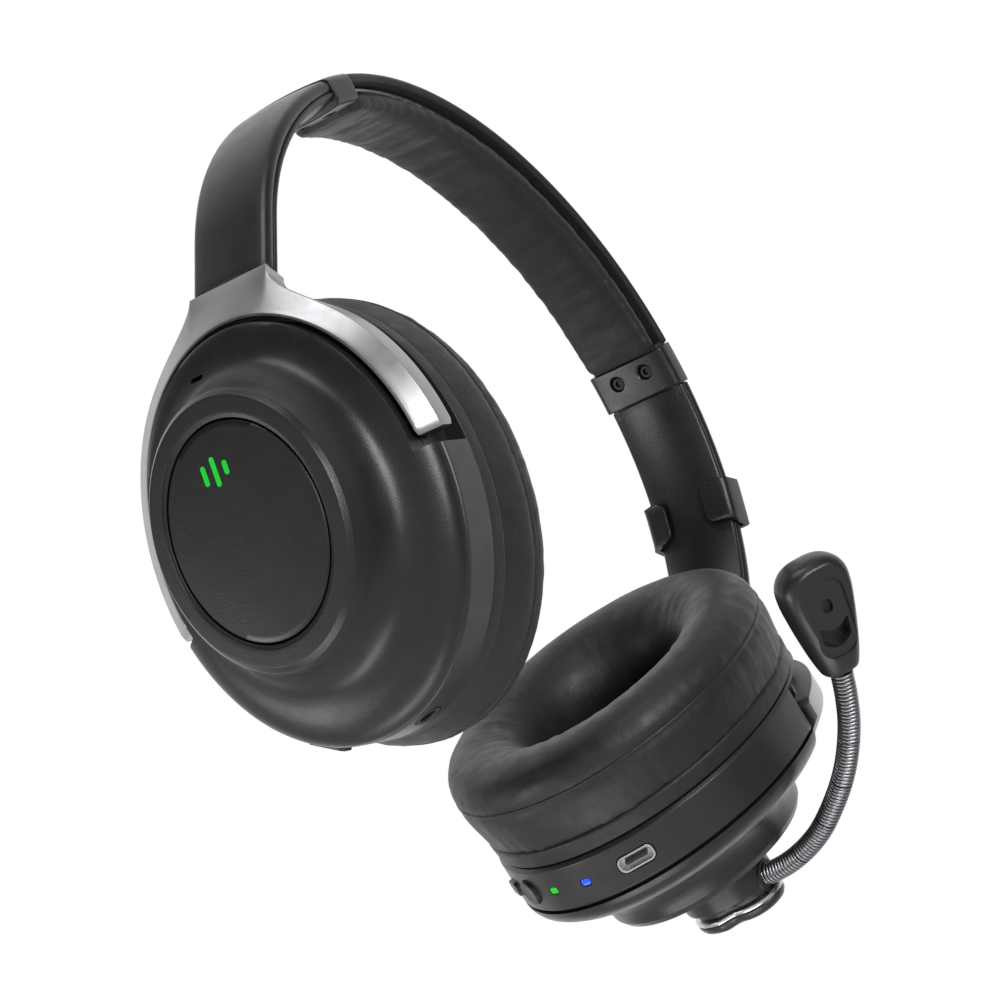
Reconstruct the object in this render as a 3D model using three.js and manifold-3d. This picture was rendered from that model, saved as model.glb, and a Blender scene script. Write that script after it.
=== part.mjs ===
// Aviation headset: a wireless over-ear headset with a boom microphone.
// Millimetres, +Z up, front at -Y, the wearer's left ear at +X.
// The origin is the underside of the headband pad at its crown, where the headset hangs on a head.
import * as THREE from "three";
import { mergeVertices } from "three/addons/utils/BufferGeometryUtils.js";
import Module from "manifold-3d";

const wasm = await Module();
wasm.setup();

// ---------------------------------------------------------------- driving dimensions
const GAP = 0.3; // running gap between neighbouring pieces
const DEG = Math.PI / 180;

// The headband follows half an ellipse, with a short straight stretch below each end.
const BAND = {
  halfSpan: 89, // outside of the band to the middle plane
  rise: 75.2, // crown above the spring line
  straight: 14.5, // straight stretch of each arm below the spring line
  width: 19.5, // along Y
  coverDepth: 2.6,
  springDepth: 1.1,
  padDepth: 5.3,
  springWidth: 14,
  springPast: 4.5, // degrees that the spring runs on past the pad, into each collar
  padEnd: 42.5, // angle from the crown where cover and pad stop
  collarEnd: 49.6, // angle from the crown where the arms start
};
const CROWN_Z = BAND.coverDepth + BAND.springDepth + BAND.padDepth + 2 * GAP;
const SPRING_LINE_Z = CROWN_Z - BAND.rise;
const ARM_END_Z = SPRING_LINE_Z - BAND.straight;

// Depths are measured inwards from the outer curve of the band.
const ARM = { depth: 6.3, wall: 1.1, lid: 1.1, channelWidth: 13.6, channelStart: 62, bevel: 1.3 };
const SLIDER = { width: 12.8, thickness: 1.2, length: 30.5, depth: 3.5, pinRadius: 1.6, pinDrop: 6 };
const SWIVEL_X = BAND.halfSpan - 3.2; // swivel axis of each yoke, vertical

const CUP = {
  centre: [64.7, 0, -127.6], // middle of the seam between cover and body
  tilt: 33.1, // degrees, lower edges towards each other
  semiHeight: 46,
  oval: 0.78, // width over height
};
const YOKE = {
  outer: [37.4, 47.6], // half width and half height of the bow's outside
  inner: [33.1, 43.3],
  top: 3.2, // outward of the seam plane
  depth: 9,
  from: 98, // degrees round the cup, 0 at the bottom and 90 at the front
  to: 284,
  slopeFrom: 44, // the outer face slopes from here ...
  slopeTo: 47.9, // ... to here
  slope: 4, // how far it falls on the way
};
const PIVOT = { up: 11, out: -2.6, radius: 1.5, length: 5.2 };
const RECESS = { half: [32.4, 42.6], floor: -10.8, from: 94.5, to: 287.5 };

// Boom microphone on the left cup. Reach is from the hub's axis, h is outward of the cup's seam plane.
const BOOM = {
  droop: 6, // degrees below straight ahead at rest
  neckRadius: 2.5,
  hub: { radius: 10.8, low: 16.6, high: 25.7 },
  base: { halfWidth: 8.2, back: 1, reach: 4, low: 21.1, high: 27.3 },
  trim: { halfWidth: 9, back: 1.5, reach: 4.5, low: 27.6, high: 28.5 },
  cap: { halfWidth: 8.8, back: 1.5, reach: 4.3, low: 28.8, high: 31.1 },
};
// The gooseneck's middle line out of the base, chosen by hand: [reach, h].
const NECK_ROUTE = [
  [3.6, 23.8],
  [9.5, 24.5],
  [17.5, 23.6],
  [26.5, 20.2],
  [34.8, 14.4],
  [42, 7.6],
  [48.2, -0.7],
  [51.6, -7.3],
  [53.8, -13],
];
const NECK_SEGMENTS = 6;
const NECK_JOINT_GAP = 0.7;
// Shares of the gooseneck's length: where its first segment, the snout round it and the socket reach.
const NECK_FROM = 0.012;
const SNOUT = { from: 0.01, to: 0.075, wall: 1 };
const SOCKET_TO = 0.12;
const CAPSULE = { length: 27, width: 16.5, depth: 11.5, foot: 4.2, lean: [0.237, -0.971, 0] };
// The opening in the capsule's face and the microphone under it: up is the distance along the capsule.
const MIC = { up: 15, opening: 2.2, bed: 3.4, radius: 3, height: 1.9, low: 1.1 };

const SEGMENTS = 32; // round the cups

// ---------------------------------------------------------------- materials
const FINISH = {
  satin_plastic: { color: 0x2a2b2d, roughness: 0.45, metalness: 0.1 },
  soft_plastic: { color: 0x232426, roughness: 0.55, metalness: 0.05 },
  leather: { color: 0x1c1d1f, roughness: 0.6, metalness: 0 },
  dark_chrome: { color: 0x8b8d90, roughness: 0.25, metalness: 0.95 },
  steel: { color: 0xb9bcc0, roughness: 0.3, metalness: 1 },
  black_part: { color: 0x141416, roughness: 0.5, metalness: 0.1 },
  rubber: { color: 0x151515, roughness: 0.75, metalness: 0 },
  circuit: { color: 0x1d5a34, roughness: 0.5, metalness: 0.1 },
  cell: { color: 0x6f7684, roughness: 0.4, metalness: 0.2 },
  light_green: { color: 0x27e04a, roughness: 0.3, metalness: 0 },
  light_blue: { color: 0x2a6bff, roughness: 0.3, metalness: 0 },
};

// ---------------------------------------------------------------- solids
// A closed three.js geometry as a manifold solid, with its faces turned outward.
function solid(geometry) {
  const flat = geometry.index ? geometry.toNonIndexed() : geometry.clone();
  flat.deleteAttribute("normal");
  flat.deleteAttribute("uv");
  const merged = mergeVertices(flat, 1e-4);
  const index = merged.index.array;
  const kept = [];
  for (let i = 0; i < index.length; i += 3) {
    const [a, b, c] = [index[i], index[i + 1], index[i + 2]];
    if (a !== b && b !== c && c !== a) kept.push(a, b, c);
  }
  const build = (triVerts) =>
    new wasm.Manifold(
      new wasm.Mesh({ numProp: 3, vertProperties: merged.attributes.position.array, triVerts }),
    );
  const made = build(new Uint32Array(kept));
  if (made.volume() > 0) return made;
  const turned = new Uint32Array(kept.length);
  for (let i = 0; i < kept.length; i += 3) turned.set([kept[i], kept[i + 2], kept[i + 1]], i);
  return build(turned);
}

const join = (...solids) => solids.reduce((all, next) => all.add(next));
const cut = (from, ...tools) => tools.reduce((left, tool) => left.subtract(tool), from);

function mesh(name, shape, finish) {
  const data = shape.getMesh();
  const geometry = new THREE.BufferGeometry();
  const stride = data.numProp;
  const position = new Float32Array((data.vertProperties.length / stride) * 3);
  for (let i = 0; i < position.length / 3; i++) {
    position.set(data.vertProperties.subarray(i * stride, i * stride + 3), i * 3);
  }
  geometry.setAttribute("position", new THREE.BufferAttribute(position, 3));
  geometry.setIndex(new THREE.BufferAttribute(data.triVerts, 1));
  geometry.computeVertexNormals();
  const made = new THREE.Mesh(geometry, new THREE.MeshStandardMaterial(FINISH[finish]));
  made.name = name;
  return made;
}

// A cylinder along Y from low to high.
function rod(radius, low, high, sides = 16) {
  return new THREE.CylinderGeometry(radius, radius, high - low, sides).translate(0, (low + high) / 2, 0);
}

function block(width, depth, height, x = 0, y = 0, z = 0) {
  return new THREE.BoxGeometry(width, depth, height).translate(x, y, z);
}

// ---------------------------------------------------------------- headband
// A point of the band in the XZ plane: depth below the outer curve, at an angle from the crown.
function bandPoint(depth, angle) {
  return [
    (BAND.halfSpan - depth) * Math.sin(angle * DEG),
    SPRING_LINE_Z + (BAND.rise - depth) * Math.cos(angle * DEG),
  ];
}

// A strip of the band between two depths and two angles. tail carries it straight down past 90 degrees.
function ribbon({ outer, inner, from, to, width, bevel = 0.3, tail = 0, steps = 16 }) {
  const along = (depth) => {
    const points = [];
    for (let i = 0; i <= steps; i++) points.push(bandPoint(depth, from + ((to - from) * i) / steps));
    if (tail) points.push([BAND.halfSpan - depth, SPRING_LINE_Z - tail]);
    return points;
  };
  const outline = [...along(outer), ...along(inner).reverse()].map(([x, z]) => new THREE.Vector2(x, z));
  const geometry = new THREE.ExtrudeGeometry(new THREE.Shape(outline), {
    depth: width - 2 * bevel,
    bevelEnabled: bevel > 0,
    bevelThickness: bevel,
    bevelSize: bevel,
    bevelOffset: -bevel,
    bevelSegments: 1,
  });
  return geometry.rotateX(Math.PI / 2).translate(0, width / 2 - bevel, 0);
}

const mirrored = (geometry, side) => (side < 0 ? geometry.rotateZ(Math.PI) : geometry);

function headband(group) {
  const end = BAND.padEnd;
  const springTop = BAND.coverDepth + GAP;
  const springBottom = springTop + BAND.springDepth;
  const padTop = springBottom + GAP;
  const cover = ribbon({
    outer: 0, inner: BAND.coverDepth, from: -end, to: end, width: BAND.width, bevel: 0.8, steps: 28,
  });
  const spring = ribbon({
    outer: springTop, inner: springBottom, from: -end - BAND.springPast, to: end + BAND.springPast,
    width: BAND.springWidth, steps: 28,
  });
  const pad = ribbon({
    outer: padTop, inner: padTop + BAND.padDepth, from: -end, to: end, width: BAND.width - 0.6,
    bevel: 1.6, steps: 28,
  });
  group.add(mesh("band_cover", solid(cover), "soft_plastic"));
  group.add(mesh("band_spring", solid(spring), "steel"));
  group.add(mesh("band_pad", solid(pad), "leather"));
}

// Axis of a collar screw: it points out of the collar's inner face.
function placeOnBand(geometry, side, depth, angle, y) {
  const [x, z] = bandPoint(depth, angle);
  const inward = new THREE.Vector3(-Math.sin(angle * DEG), 0, -Math.cos(angle * DEG));
  const turn = new THREE.Quaternion().setFromUnitVectors(new THREE.Vector3(0, 1, 0), inward);
  geometry.applyQuaternion(turn).translate(x, y, z);
  return mirrored(geometry, side);
}

const COLLAR = { proud: 0.3, depth: 7.4, width: 20.3, screwAngle: 45.4, screwSpacing: 7.6 };
const SCREW = { headRadius: 1.6, headDepth: 1.3, shankRadius: 0.9, length: 2.6, sunk: 0.5 };

function collar(group, side, label) {
  const body = solid(
    mirrored(
      ribbon({
        outer: -COLLAR.proud, inner: COLLAR.depth, from: BAND.padEnd + 0.25, to: BAND.collarEnd,
        width: COLLAR.width, bevel: 0.9, steps: 4,
      }),
      side,
    ),
  );
  const slot = solid(
    mirrored(
      ribbon({
        outer: BAND.coverDepth, inner: BAND.coverDepth + BAND.springDepth + 2 * GAP,
        from: BAND.padEnd - 2, to: BAND.padEnd + BAND.springPast + 0.4, width: BAND.springWidth + 2 * GAP,
        bevel: 0, steps: 6,
      }),
      side,
    ),
  );
  const holes = [];
  for (const [end, y] of [["front", -COLLAR.screwSpacing / 2], ["rear", COLLAR.screwSpacing / 2]]) {
    const screw = () =>
      join(
        solid(placeOnBand(rod(SCREW.headRadius, -SCREW.sunk - SCREW.headDepth, -SCREW.sunk, 12), side,
          COLLAR.depth, COLLAR.screwAngle, y)),
        solid(placeOnBand(rod(SCREW.shankRadius, -SCREW.sunk - SCREW.length, -SCREW.sunk - 0.5, 8), side,
          COLLAR.depth, COLLAR.screwAngle, y)),
      );
    holes.push(
      solid(placeOnBand(rod(SCREW.headRadius + GAP, -SCREW.sunk - SCREW.headDepth - GAP, 3, 12), side,
        COLLAR.depth, COLLAR.screwAngle, y)),
      solid(placeOnBand(rod(SCREW.shankRadius + GAP, -SCREW.sunk - SCREW.length - GAP, 0, 8), side,
        COLLAR.depth, COLLAR.screwAngle, y)),
    );
    group.add(mesh(`collar_screw_${label}_${end}`, screw(), "steel"));
  }
  group.add(mesh(`collar_${label}`, cut(body, slot, ...holes), "satin_plastic"));
}

function arm(group, side, label) {
  const span = { from: BAND.collarEnd + 0.25, to: 90, tail: BAND.straight };
  const lidTop = ARM.depth - ARM.lid;
  const shell = solid(mirrored(
    ribbon({ outer: 0, inner: lidTop - GAP, width: BAND.width, bevel: ARM.bevel, ...span }), side));
  const channel = solid(mirrored(
    ribbon({
      outer: ARM.wall, inner: lidTop + 2, width: ARM.channelWidth, bevel: 0,
      from: ARM.channelStart, to: 90, tail: BAND.straight + 3,
    }),
    side,
  ));
  const lid = solid(mirrored(
    ribbon({ outer: lidTop, inner: ARM.depth, width: BAND.width - 1, bevel: 0.4, ...span }), side));
  const notch = solid(block(6, 7, 3.4, side * (BAND.halfSpan - ARM.depth), 0, ARM_END_Z + 3.2));
  group.add(mesh(`arm_shell_${label}`, cut(shell, channel), "satin_plastic"));
  group.add(mesh(`arm_lid_${label}`, cut(lid, notch), "soft_plastic"));
}

const CLIP = { from: 68, to: 76, wall: 1.3, lip: 1.2, clearance: 0.4, mouth: 16.5 };

// The clip on the left arm that the boom parks in: a C that hooks round both edges of the arm.
function boomClip(group) {
  const span = { from: CLIP.from, to: CLIP.to, steps: 4 };
  const wider = { from: CLIP.from - 5, to: CLIP.to + 4, steps: 4, bevel: 0 };
  const { clearance, wall, lip } = CLIP;
  const around = solid(ribbon({
    outer: -clearance - wall, inner: ARM.depth + clearance + lip,
    width: BAND.width + 2 * (clearance + wall) + 0.6, bevel: 0.9, ...span,
  }));
  const hollow = solid(ribbon({
    outer: -clearance, inner: ARM.depth + clearance, width: BAND.width + 2 * clearance, ...wider,
  }));
  const mouth = solid(ribbon({ outer: 4, inner: ARM.depth + 5, width: CLIP.mouth, ...wider }));
  group.add(mesh("boom_clip", cut(around, hollow, mouth), "satin_plastic"));
}

// ---------------------------------------------------------------- slider and yoke
function slider(group, side, label) {
  const x = side * (BAND.halfSpan - SLIDER.depth - SLIDER.thickness / 2);
  const strip = block(SLIDER.thickness, SLIDER.width, SLIDER.length, x, 0, ARM_END_Z + SLIDER.length / 2);
  const pin = rod(SLIDER.pinRadius, -SLIDER.pinDrop, 4).rotateX(Math.PI / 2)
    .translate(side * SWIVEL_X, 0, ARM_END_Z);
  group.add(mesh(`slider_${label}`, join(solid(strip), solid(pin)), "steel"));
}

// The cup's own frame: X front to back, Y out of the ear, Z up along the cup.
function cupMatrix(side) {
  const out = new THREE.Vector3(side * Math.cos(CUP.tilt * DEG), 0, -Math.sin(CUP.tilt * DEG));
  const up = new THREE.Vector3(side * Math.sin(CUP.tilt * DEG), 0, Math.cos(CUP.tilt * DEG));
  const across = new THREE.Vector3().crossVectors(out, up);
  const [x, y, z] = CUP.centre;
  return new THREE.Matrix4().makeBasis(across, out, up).setPosition(side * x, y, z);
}

// A sector of an oval ring in the cup's frame. Angles go from the bottom (0) to the front (90).
function ovalSector({ side, inner, outer, from, to, top, depth, bevel = 0, steps = 36 }) {
  const along = ([half, high]) => {
    const points = [];
    for (let i = 0; i <= steps; i++) {
      const angle = (from + ((to - from) * i) / steps) * DEG;
      points.push(new THREE.Vector2(side * half * Math.sin(angle), -high * Math.cos(angle)));
    }
    return points;
  };
  const geometry = new THREE.ExtrudeGeometry(new THREE.Shape([...along(outer), ...along(inner).reverse()]), {
    depth: depth - 2 * bevel,
    bevelEnabled: bevel > 0,
    bevelThickness: bevel,
    bevelSize: bevel,
    bevelOffset: -bevel,
    bevelSegments: 1,
  });
  return geometry.rotateX(Math.PI / 2).translate(0, top - bevel, 0);
}

// The neck's flare: how far its foot spreads past the arm, and the drops of its waist, foot, toe and arch.
const NECK = { spread: 10.5, toe: 9.5, waistDrop: 7, footDrop: 12, toeDrop: 14.4, archDrop: 6.9 };

// The neck flares from the arm's own section down on to the bow.
function yokeNeck(side) {
  const half = BAND.width / 2;
  const top = ARM_END_Z - GAP;
  const foot = half + NECK.spread;
  const toe = half + NECK.toe;
  const archShoulder = top - NECK.archDrop - 0.7;
  const outline = new THREE.Shape();
  outline.moveTo(-half, top);
  outline.lineTo(half, top);
  outline.quadraticCurveTo(half + 0.6, top - NECK.waistDrop, foot, top - NECK.footDrop);
  outline.lineTo(toe, top - NECK.toeDrop);
  outline.quadraticCurveTo(half, archShoulder, 0, top - NECK.archDrop);
  outline.quadraticCurveTo(-half, archShoulder, -toe, top - NECK.toeDrop);
  outline.lineTo(-foot, top - NECK.footDrop);
  outline.quadraticCurveTo(-half - 0.6, top - NECK.waistDrop, -half, top);
  const bevel = 0.9;
  const geometry = new THREE.ExtrudeGeometry(outline, {
    depth: ARM.depth - 2 * bevel,
    bevelThickness: bevel,
    bevelSize: bevel,
    bevelOffset: -bevel,
    bevelSegments: 1,
    curveSegments: 6,
  });
  geometry.rotateX(Math.PI / 2).rotateZ(Math.PI / 2); // outline across Y and Z, depth along X
  geometry.computeBoundingBox();
  const { min, max } = geometry.boundingBox;
  return geometry.translate(side * (BAND.halfSpan - ARM.depth / 2) - (min.x + max.x) / 2, 0, 0);
}

function pivotPin(front, clearance = 0) {
  const middle = YOKE.inner[0] + 0.4;
  const half = PIVOT.length / 2 + clearance;
  return rod(PIVOT.radius + clearance, middle - half, middle + half, 12)
    .rotateZ(-Math.PI / 2)
    .rotateY(front > 0 ? 0 : Math.PI)
    .translate(0, PIVOT.out, PIVOT.up);
}

function yoke(group, side, label) {
  const frame = cupMatrix(side);
  const aboveSlope = loop([
    [YOKE.slopeFrom, YOKE.top], [YOKE.slopeTo, YOKE.top - YOKE.slope],
    [60, YOKE.top - YOKE.slope], [60, 20], [YOKE.slopeFrom, 20],
  ]);
  const bow = cut(
    solid(ovalSector({ side, ...YOKE, bevel: 0.8 }).applyMatrix4(frame)),
    solid(oval(aboveSlope).applyMatrix4(frame)),
  );
  const socket = solid(
    rod(SLIDER.pinRadius + GAP, -SLIDER.pinDrop - GAP, 3).rotateX(Math.PI / 2)
      .translate(side * SWIVEL_X, 0, ARM_END_Z),
  );
  const pinHoles = [1, -1].map((front) => solid(pivotPin(front, GAP).applyMatrix4(frame)));
  group.add(mesh(`yoke_${label}`, cut(join(bow, solid(yokeNeck(side))), socket, ...pinHoles), "dark_chrome"));
  for (const [end, front] of [["front", side], ["rear", -side]]) {
    group.add(mesh(`pivot_pin_${label}_${end}`, solid(pivotPin(front).applyMatrix4(frame)), "steel"));
  }
}

// ---------------------------------------------------------------- cups, in the cup's own frame
// A solid of revolution about Y, pressed into the cup's oval. Profile points are [radius, h].
function oval(profile, squeeze = CUP.oval) {
  const points = profile.map(([radius, h]) => new THREE.Vector2(radius, h));
  return new THREE.LatheGeometry(points, SEGMENTS).scale(squeeze, 1, 1);
}
const loop = (profile) => [...profile, profile[0]];

// The frame of something set in the rim: Y out of the rim, Z out of the ear, X along the rim.
function rimMatrix(side, angle, h, proud = 0) {
  const half = CUP.semiHeight * CUP.oval;
  const high = CUP.semiHeight;
  const [sin, cos] = [Math.sin(angle * DEG), Math.cos(angle * DEG)];
  const normal = new THREE.Vector3((side * sin) / half, 0, -cos / high).normalize();
  const out = new THREE.Vector3(0, 1, 0);
  const along = new THREE.Vector3().crossVectors(normal, out);
  const place = new THREE.Vector3(side * half * sin, h, -high * cos).addScaledVector(normal, proud);
  return new THREE.Matrix4().makeBasis(along, normal, out).setPosition(place);
}

const RIM_H = -5.9; // middle of the ports and buttons in the rim
const RIM_PARTS = {
  left: [
    { name: "usb_port", angle: 15, half: [4.3, 1.9], deep: 5, proud: 0.25, finish: "steel", port: [3.4, 1.1] },
    { name: "status_light_blue", angle: -5, radius: 0.9, deep: 3, proud: 0.15, finish: "light_blue" },
    { name: "status_light_green", angle: -20, radius: 0.9, deep: 3, proud: 0.15, finish: "light_green" },
    { name: "power_button", angle: -33.5, radius: 2.9, deep: 3.4, proud: 1, finish: "black_part", moves: true },
    { name: "pairing_button", angle: -46, half: [2.6, 1.7], deep: 3.4, proud: 1, finish: "black_part", moves: true },
  ],
  right: [
    { name: "audio_jack", angle: 13, radius: 2.9, deep: 5.6, proud: 0.25, finish: "steel", bore: 1.8 },
    { name: "noise_button", angle: -25, half: [4.4, 2.1], deep: 3.6, proud: 1.2, finish: "black_part", moves: true },
    { name: "volume_button", angle: -50, half: [4.4, 2.1], deep: 3.6, proud: 1.2, finish: "black_part", moves: true },
  ],
};

// A round or rounded-rectangle plug along Y, grown by clearance all round.
function rimPlug(part, clearance, low, high) {
  if (part.radius) return rod(part.radius + clearance, low, high);
  const [a, b] = [part.half[0] + clearance, part.half[1] + clearance];
  const corner = Math.min(a, b) * 0.6;
  const shape = new THREE.Shape();
  shape.moveTo(-a + corner, -b);
  shape.lineTo(a - corner, -b);
  shape.absarc(a - corner, -b + corner, corner, -Math.PI / 2, 0);
  shape.absarc(a - corner, b - corner, corner, 0, Math.PI / 2);
  shape.absarc(-a + corner, b - corner, corner, Math.PI / 2, Math.PI);
  shape.absarc(-a + corner, -b + corner, corner, Math.PI, 1.5 * Math.PI);
  const geometry = new THREE.ExtrudeGeometry(shape, { depth: high - low, bevelEnabled: false, curveSegments: 4 });
  return geometry.rotateX(Math.PI / 2).translate(0, high, 0);
}

function rimParts(group, side, label) {
  const pockets = [];
  for (const part of RIM_PARTS[label]) {
    const frame = rimMatrix(side, part.angle, RIM_H);
    const travel = part.moves ? 1.1 : 0;
    pockets.push(solid(rimPlug(part, GAP, -part.deep - travel - GAP, 6).applyMatrix4(frame)));
    let plug = solid(rimPlug(part, 0, -part.deep, part.proud).applyMatrix4(frame));
    if (part.bore) plug = cut(plug, solid(rod(part.bore, -part.deep + 0.8, 3).applyMatrix4(frame)));
    if (part.port) {
      const [a, b] = part.port;
      plug = cut(plug, solid(block(2 * a, 6, 2 * b, 0, 0, 0).translate(0, -1.2, 0).applyMatrix4(frame)));
    }
    group.add(mesh(part.name, plug, part.finish));
  }
  return pockets;
}

// The covers as the right cup has them; the left one is lower, to leave room for the boom's hub.
const DOME = { foot: 5.9, shoulder: 18.4, lower: { left: 6, right: 0 } };
const COVER_PROFILE = [
  [23.2, 22], [27.6, 21.7], [28.9, 20.2], [30, 15.6], [32, 10.6], [34.6, 7.5], [38, 5.9],
  [42.4, 4.3], [45.2, 1.9], [46.2, -0.2], [40.6, -0.2], [36.5, 3], [31.6, 5.4], [28.2, 12],
  [26, 18.4], [21.6, 18.6], [21.6, 20.4], [23.2, 20.4],
];
const PANEL_PROFILE = [
  [0, 18.4], [21, 18.4], [21, 20.7], [22.8, 20.7], [22.8, 22], [21.6, 22.3], [14, 21.9], [0, 21.4],
];
const BODY_PROFILE = loop([
  [45.3, -0.5], [46.2, -1.3], [46.2, -10.6], [45.4, -11.4], [37, -11.4], [37, -9.6], [39.2, -9.6],
  [39.2, -0.5],
]);
const BAFFLE_PROFILE = loop([[36.6, -8], [36.6, -11.6], [23, -11.6], [23, -10], [34, -10], [34, -8]]);
const PLATE_PROFILE = loop([[44, -11.8], [44, -13], [30, -13], [30, -11.8]]);
// The cushion's leather wraps the edge of its plate, and its face leans down by this share of its depth.
const CUSHION_LEAN = 0.09;
const CUSHION_PROFILE = loop([
  [44.4, -13.4], [44.4, -11.75], [45.7, -11.75], [46.2, -17], [47.6, -20], [48.3, -24], [48.3, -28],
  [47.2, -31.6], [44.4, -34.2], [38.6, -35.5], [31.5, -34.8], [25.4, -31.8], [22.3, -26.5], [22, -20],
  [25, -13.4],
]);
// Inside the cups: h is outward of the seam plane.
const CIRCUIT_BOARD = { size: [32, 1.6, 42], h: 3.4 };
const BATTERY = { size: [26, 5, 36], h: 6.2 };
const DRIVER_SCALE = 0.74; // the driver's size against its profile
// Slit of the outer microphone, high on the right cup and towards its rear.
const MIC_SLIT = { size: [3.2, 12, 1], at: [7.6, 4, 35] };
const DRIVER_PROFILE = [
  [0, -1.4], [10, -1.4], [12, -4], [20, -5], [22.4, -6.4], [22.4, -9.4], [17, -10.8], [0, -10],
];

// A cover's or panel's profile with its dome brought down: the wall is shortened and the top keeps its form.
function lowered(profile, label) {
  const drop = DOME.lower[label];
  const scale = 1 - drop / (DOME.shoulder - DOME.foot);
  const height = (h) => (h > DOME.shoulder - 0.1 ? h - drop : DOME.foot + (h - DOME.foot) * scale);
  return profile.map(([radius, h]) => [radius, h > DOME.foot ? height(h) : h]);
}

function cup(group, side, label) {
  const frame = new THREE.Group();
  frame.applyMatrix4(cupMatrix(side));
  group.add(frame);

  // The yoke's bow and its pins sit in a step cut round the upper part of the cup.
  const step = solid(ovalSector({
    side, inner: RECESS.half, outer: [60, 70], from: RECESS.from, to: RECESS.to,
    top: 30, depth: 30 - RECESS.floor,
  }));
  const pinHoles = [1, -1].map((front) => solid(pivotPin(front, GAP)));
  const pockets = rimParts(frame, side, label);
  const body = cut(solid(oval(BODY_PROFILE)), step, ...pinHoles, ...pockets);
  frame.add(mesh(`cup_body_${label}`, body, "satin_plastic"));

  const cover = [solid(oval(loop(lowered(COVER_PROFILE, label)))), step];
  if (side < 0) cover.push(solid(block(...MIC_SLIT.size, ...MIC_SLIT.at)));
  frame.add(mesh(`cup_cover_${label}`, cut(...cover), "satin_plastic"));
  frame.add(mesh(`cup_panel_${label}`, solid(oval(lowered(PANEL_PROFILE, label))), "satin_plastic"));
  frame.add(mesh(`baffle_${label}`, solid(oval(BAFFLE_PROFILE)), "black_part"));
  frame.add(mesh(`cushion_plate_${label}`, solid(oval(PLATE_PROFILE)), "black_part"));
  const lean = new THREE.Matrix4().set(
    1, 0, 0, 0, 0, 1, 0, 0, 0, CUSHION_LEAN, 1, -CUSHION_LEAN * CUSHION_PROFILE[0][1], 0, 0, 0, 1,
  );
  frame.add(mesh(`ear_cushion_${label}`, solid(oval(CUSHION_PROFILE).applyMatrix4(lean)), "leather"));

  const driver = DRIVER_PROFILE.map(([radius, h]) => [radius * DRIVER_SCALE, h]);
  frame.add(mesh(`speaker_driver_${label}`, solid(oval(driver, 1)), "black_part"));
  const board = solid(block(...CIRCUIT_BOARD.size, 0, CIRCUIT_BOARD.h, 0));
  if (side > 0) frame.add(mesh("circuit_board", board, "circuit"));
  else frame.add(mesh("battery", solid(block(...BATTERY.size, 0, BATTERY.h, 0)), "cell"));
}

// ---------------------------------------------------------------- boom microphone
// A stadium plate round the hub's axis, longer towards the gooseneck. grow widens it all round.
function stadium({ halfWidth, back, reach, low, high }, bevel, grow = 0) {
  const shape = new THREE.Shape();
  shape.absarc(-back, 0, halfWidth + grow, Math.PI / 2, 1.5 * Math.PI);
  shape.absarc(reach, 0, halfWidth * 0.8 + grow, -Math.PI / 2, Math.PI / 2);
  const geometry = new THREE.ExtrudeGeometry(shape, {
    depth: high - low - 2 * bevel, bevelEnabled: bevel > 0, bevelThickness: bevel, bevelSize: bevel,
    bevelOffset: -bevel, bevelSegments: 2, curveSegments: 10,
  });
  return geometry.rotateX(Math.PI / 2).translate(0, high - bevel, 0);
}

function neckCurve() {
  const points = NECK_ROUTE.map(([reach, h]) => new THREE.Vector3(reach, h, 0));
  return new THREE.CatmullRomCurve3(points, false, "centripetal");
}

// One length of the gooseneck: a tube along the route between two shares of its length.
function neckPiece(curve, from, to, radius) {
  const points = [];
  const steps = 4;
  for (let i = 0; i <= steps; i++) points.push(curve.getPointAt(from + ((to - from) * i) / steps));
  const path = new THREE.CatmullRomCurve3(points);
  const section = new THREE.Shape();
  section.absarc(0, 0, radius, 0, 2 * Math.PI);
  return new THREE.ExtrudeGeometry(section, {
    steps, extrudePath: path, bevelEnabled: false, curveSegments: 12,
  });
}

// The capsule's long axis carries on from the gooseneck's end; its mic face looks ahead and down.
function capsuleMatrix(curve) {
  const along = new THREE.Vector3(...CAPSULE.lean).normalize();
  const face = new THREE.Vector3(0.76, 0.31, -0.62).projectOnPlane(along).normalize();
  const across = new THREE.Vector3().crossVectors(along, face);
  return new THREE.Matrix4().makeBasis(across, along, face).setPosition(curve.getPointAt(1));
}

// Half of the capsule, a rounded drop: low and high are its depths either side of the parting plane.
function capsuleShell(low, high, bevel) {
  const { length, width, foot } = CAPSULE;
  const [side, crown] = [width / 2 - 0.5, width / 2 - 1.9];
  const shape = new THREE.Shape();
  shape.moveTo(-foot, 0.9);
  shape.lineTo(foot, 0.9);
  shape.bezierCurveTo(side, 5, width / 2 + 0.5, length - 13, side, length - 6);
  shape.bezierCurveTo(crown, length + 0.4, -crown, length + 0.4, -side, length - 6);
  shape.bezierCurveTo(-width / 2 - 0.5, length - 13, -side, 5, -foot, 0.9);
  return new THREE.ExtrudeGeometry(shape, {
    depth: high - low - 2 * bevel, bevelThickness: bevel, bevelSize: bevel, bevelOffset: -bevel,
    bevelSegments: 2, curveSegments: 8,
  }).translate(0, 0, low + bevel);
}

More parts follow.
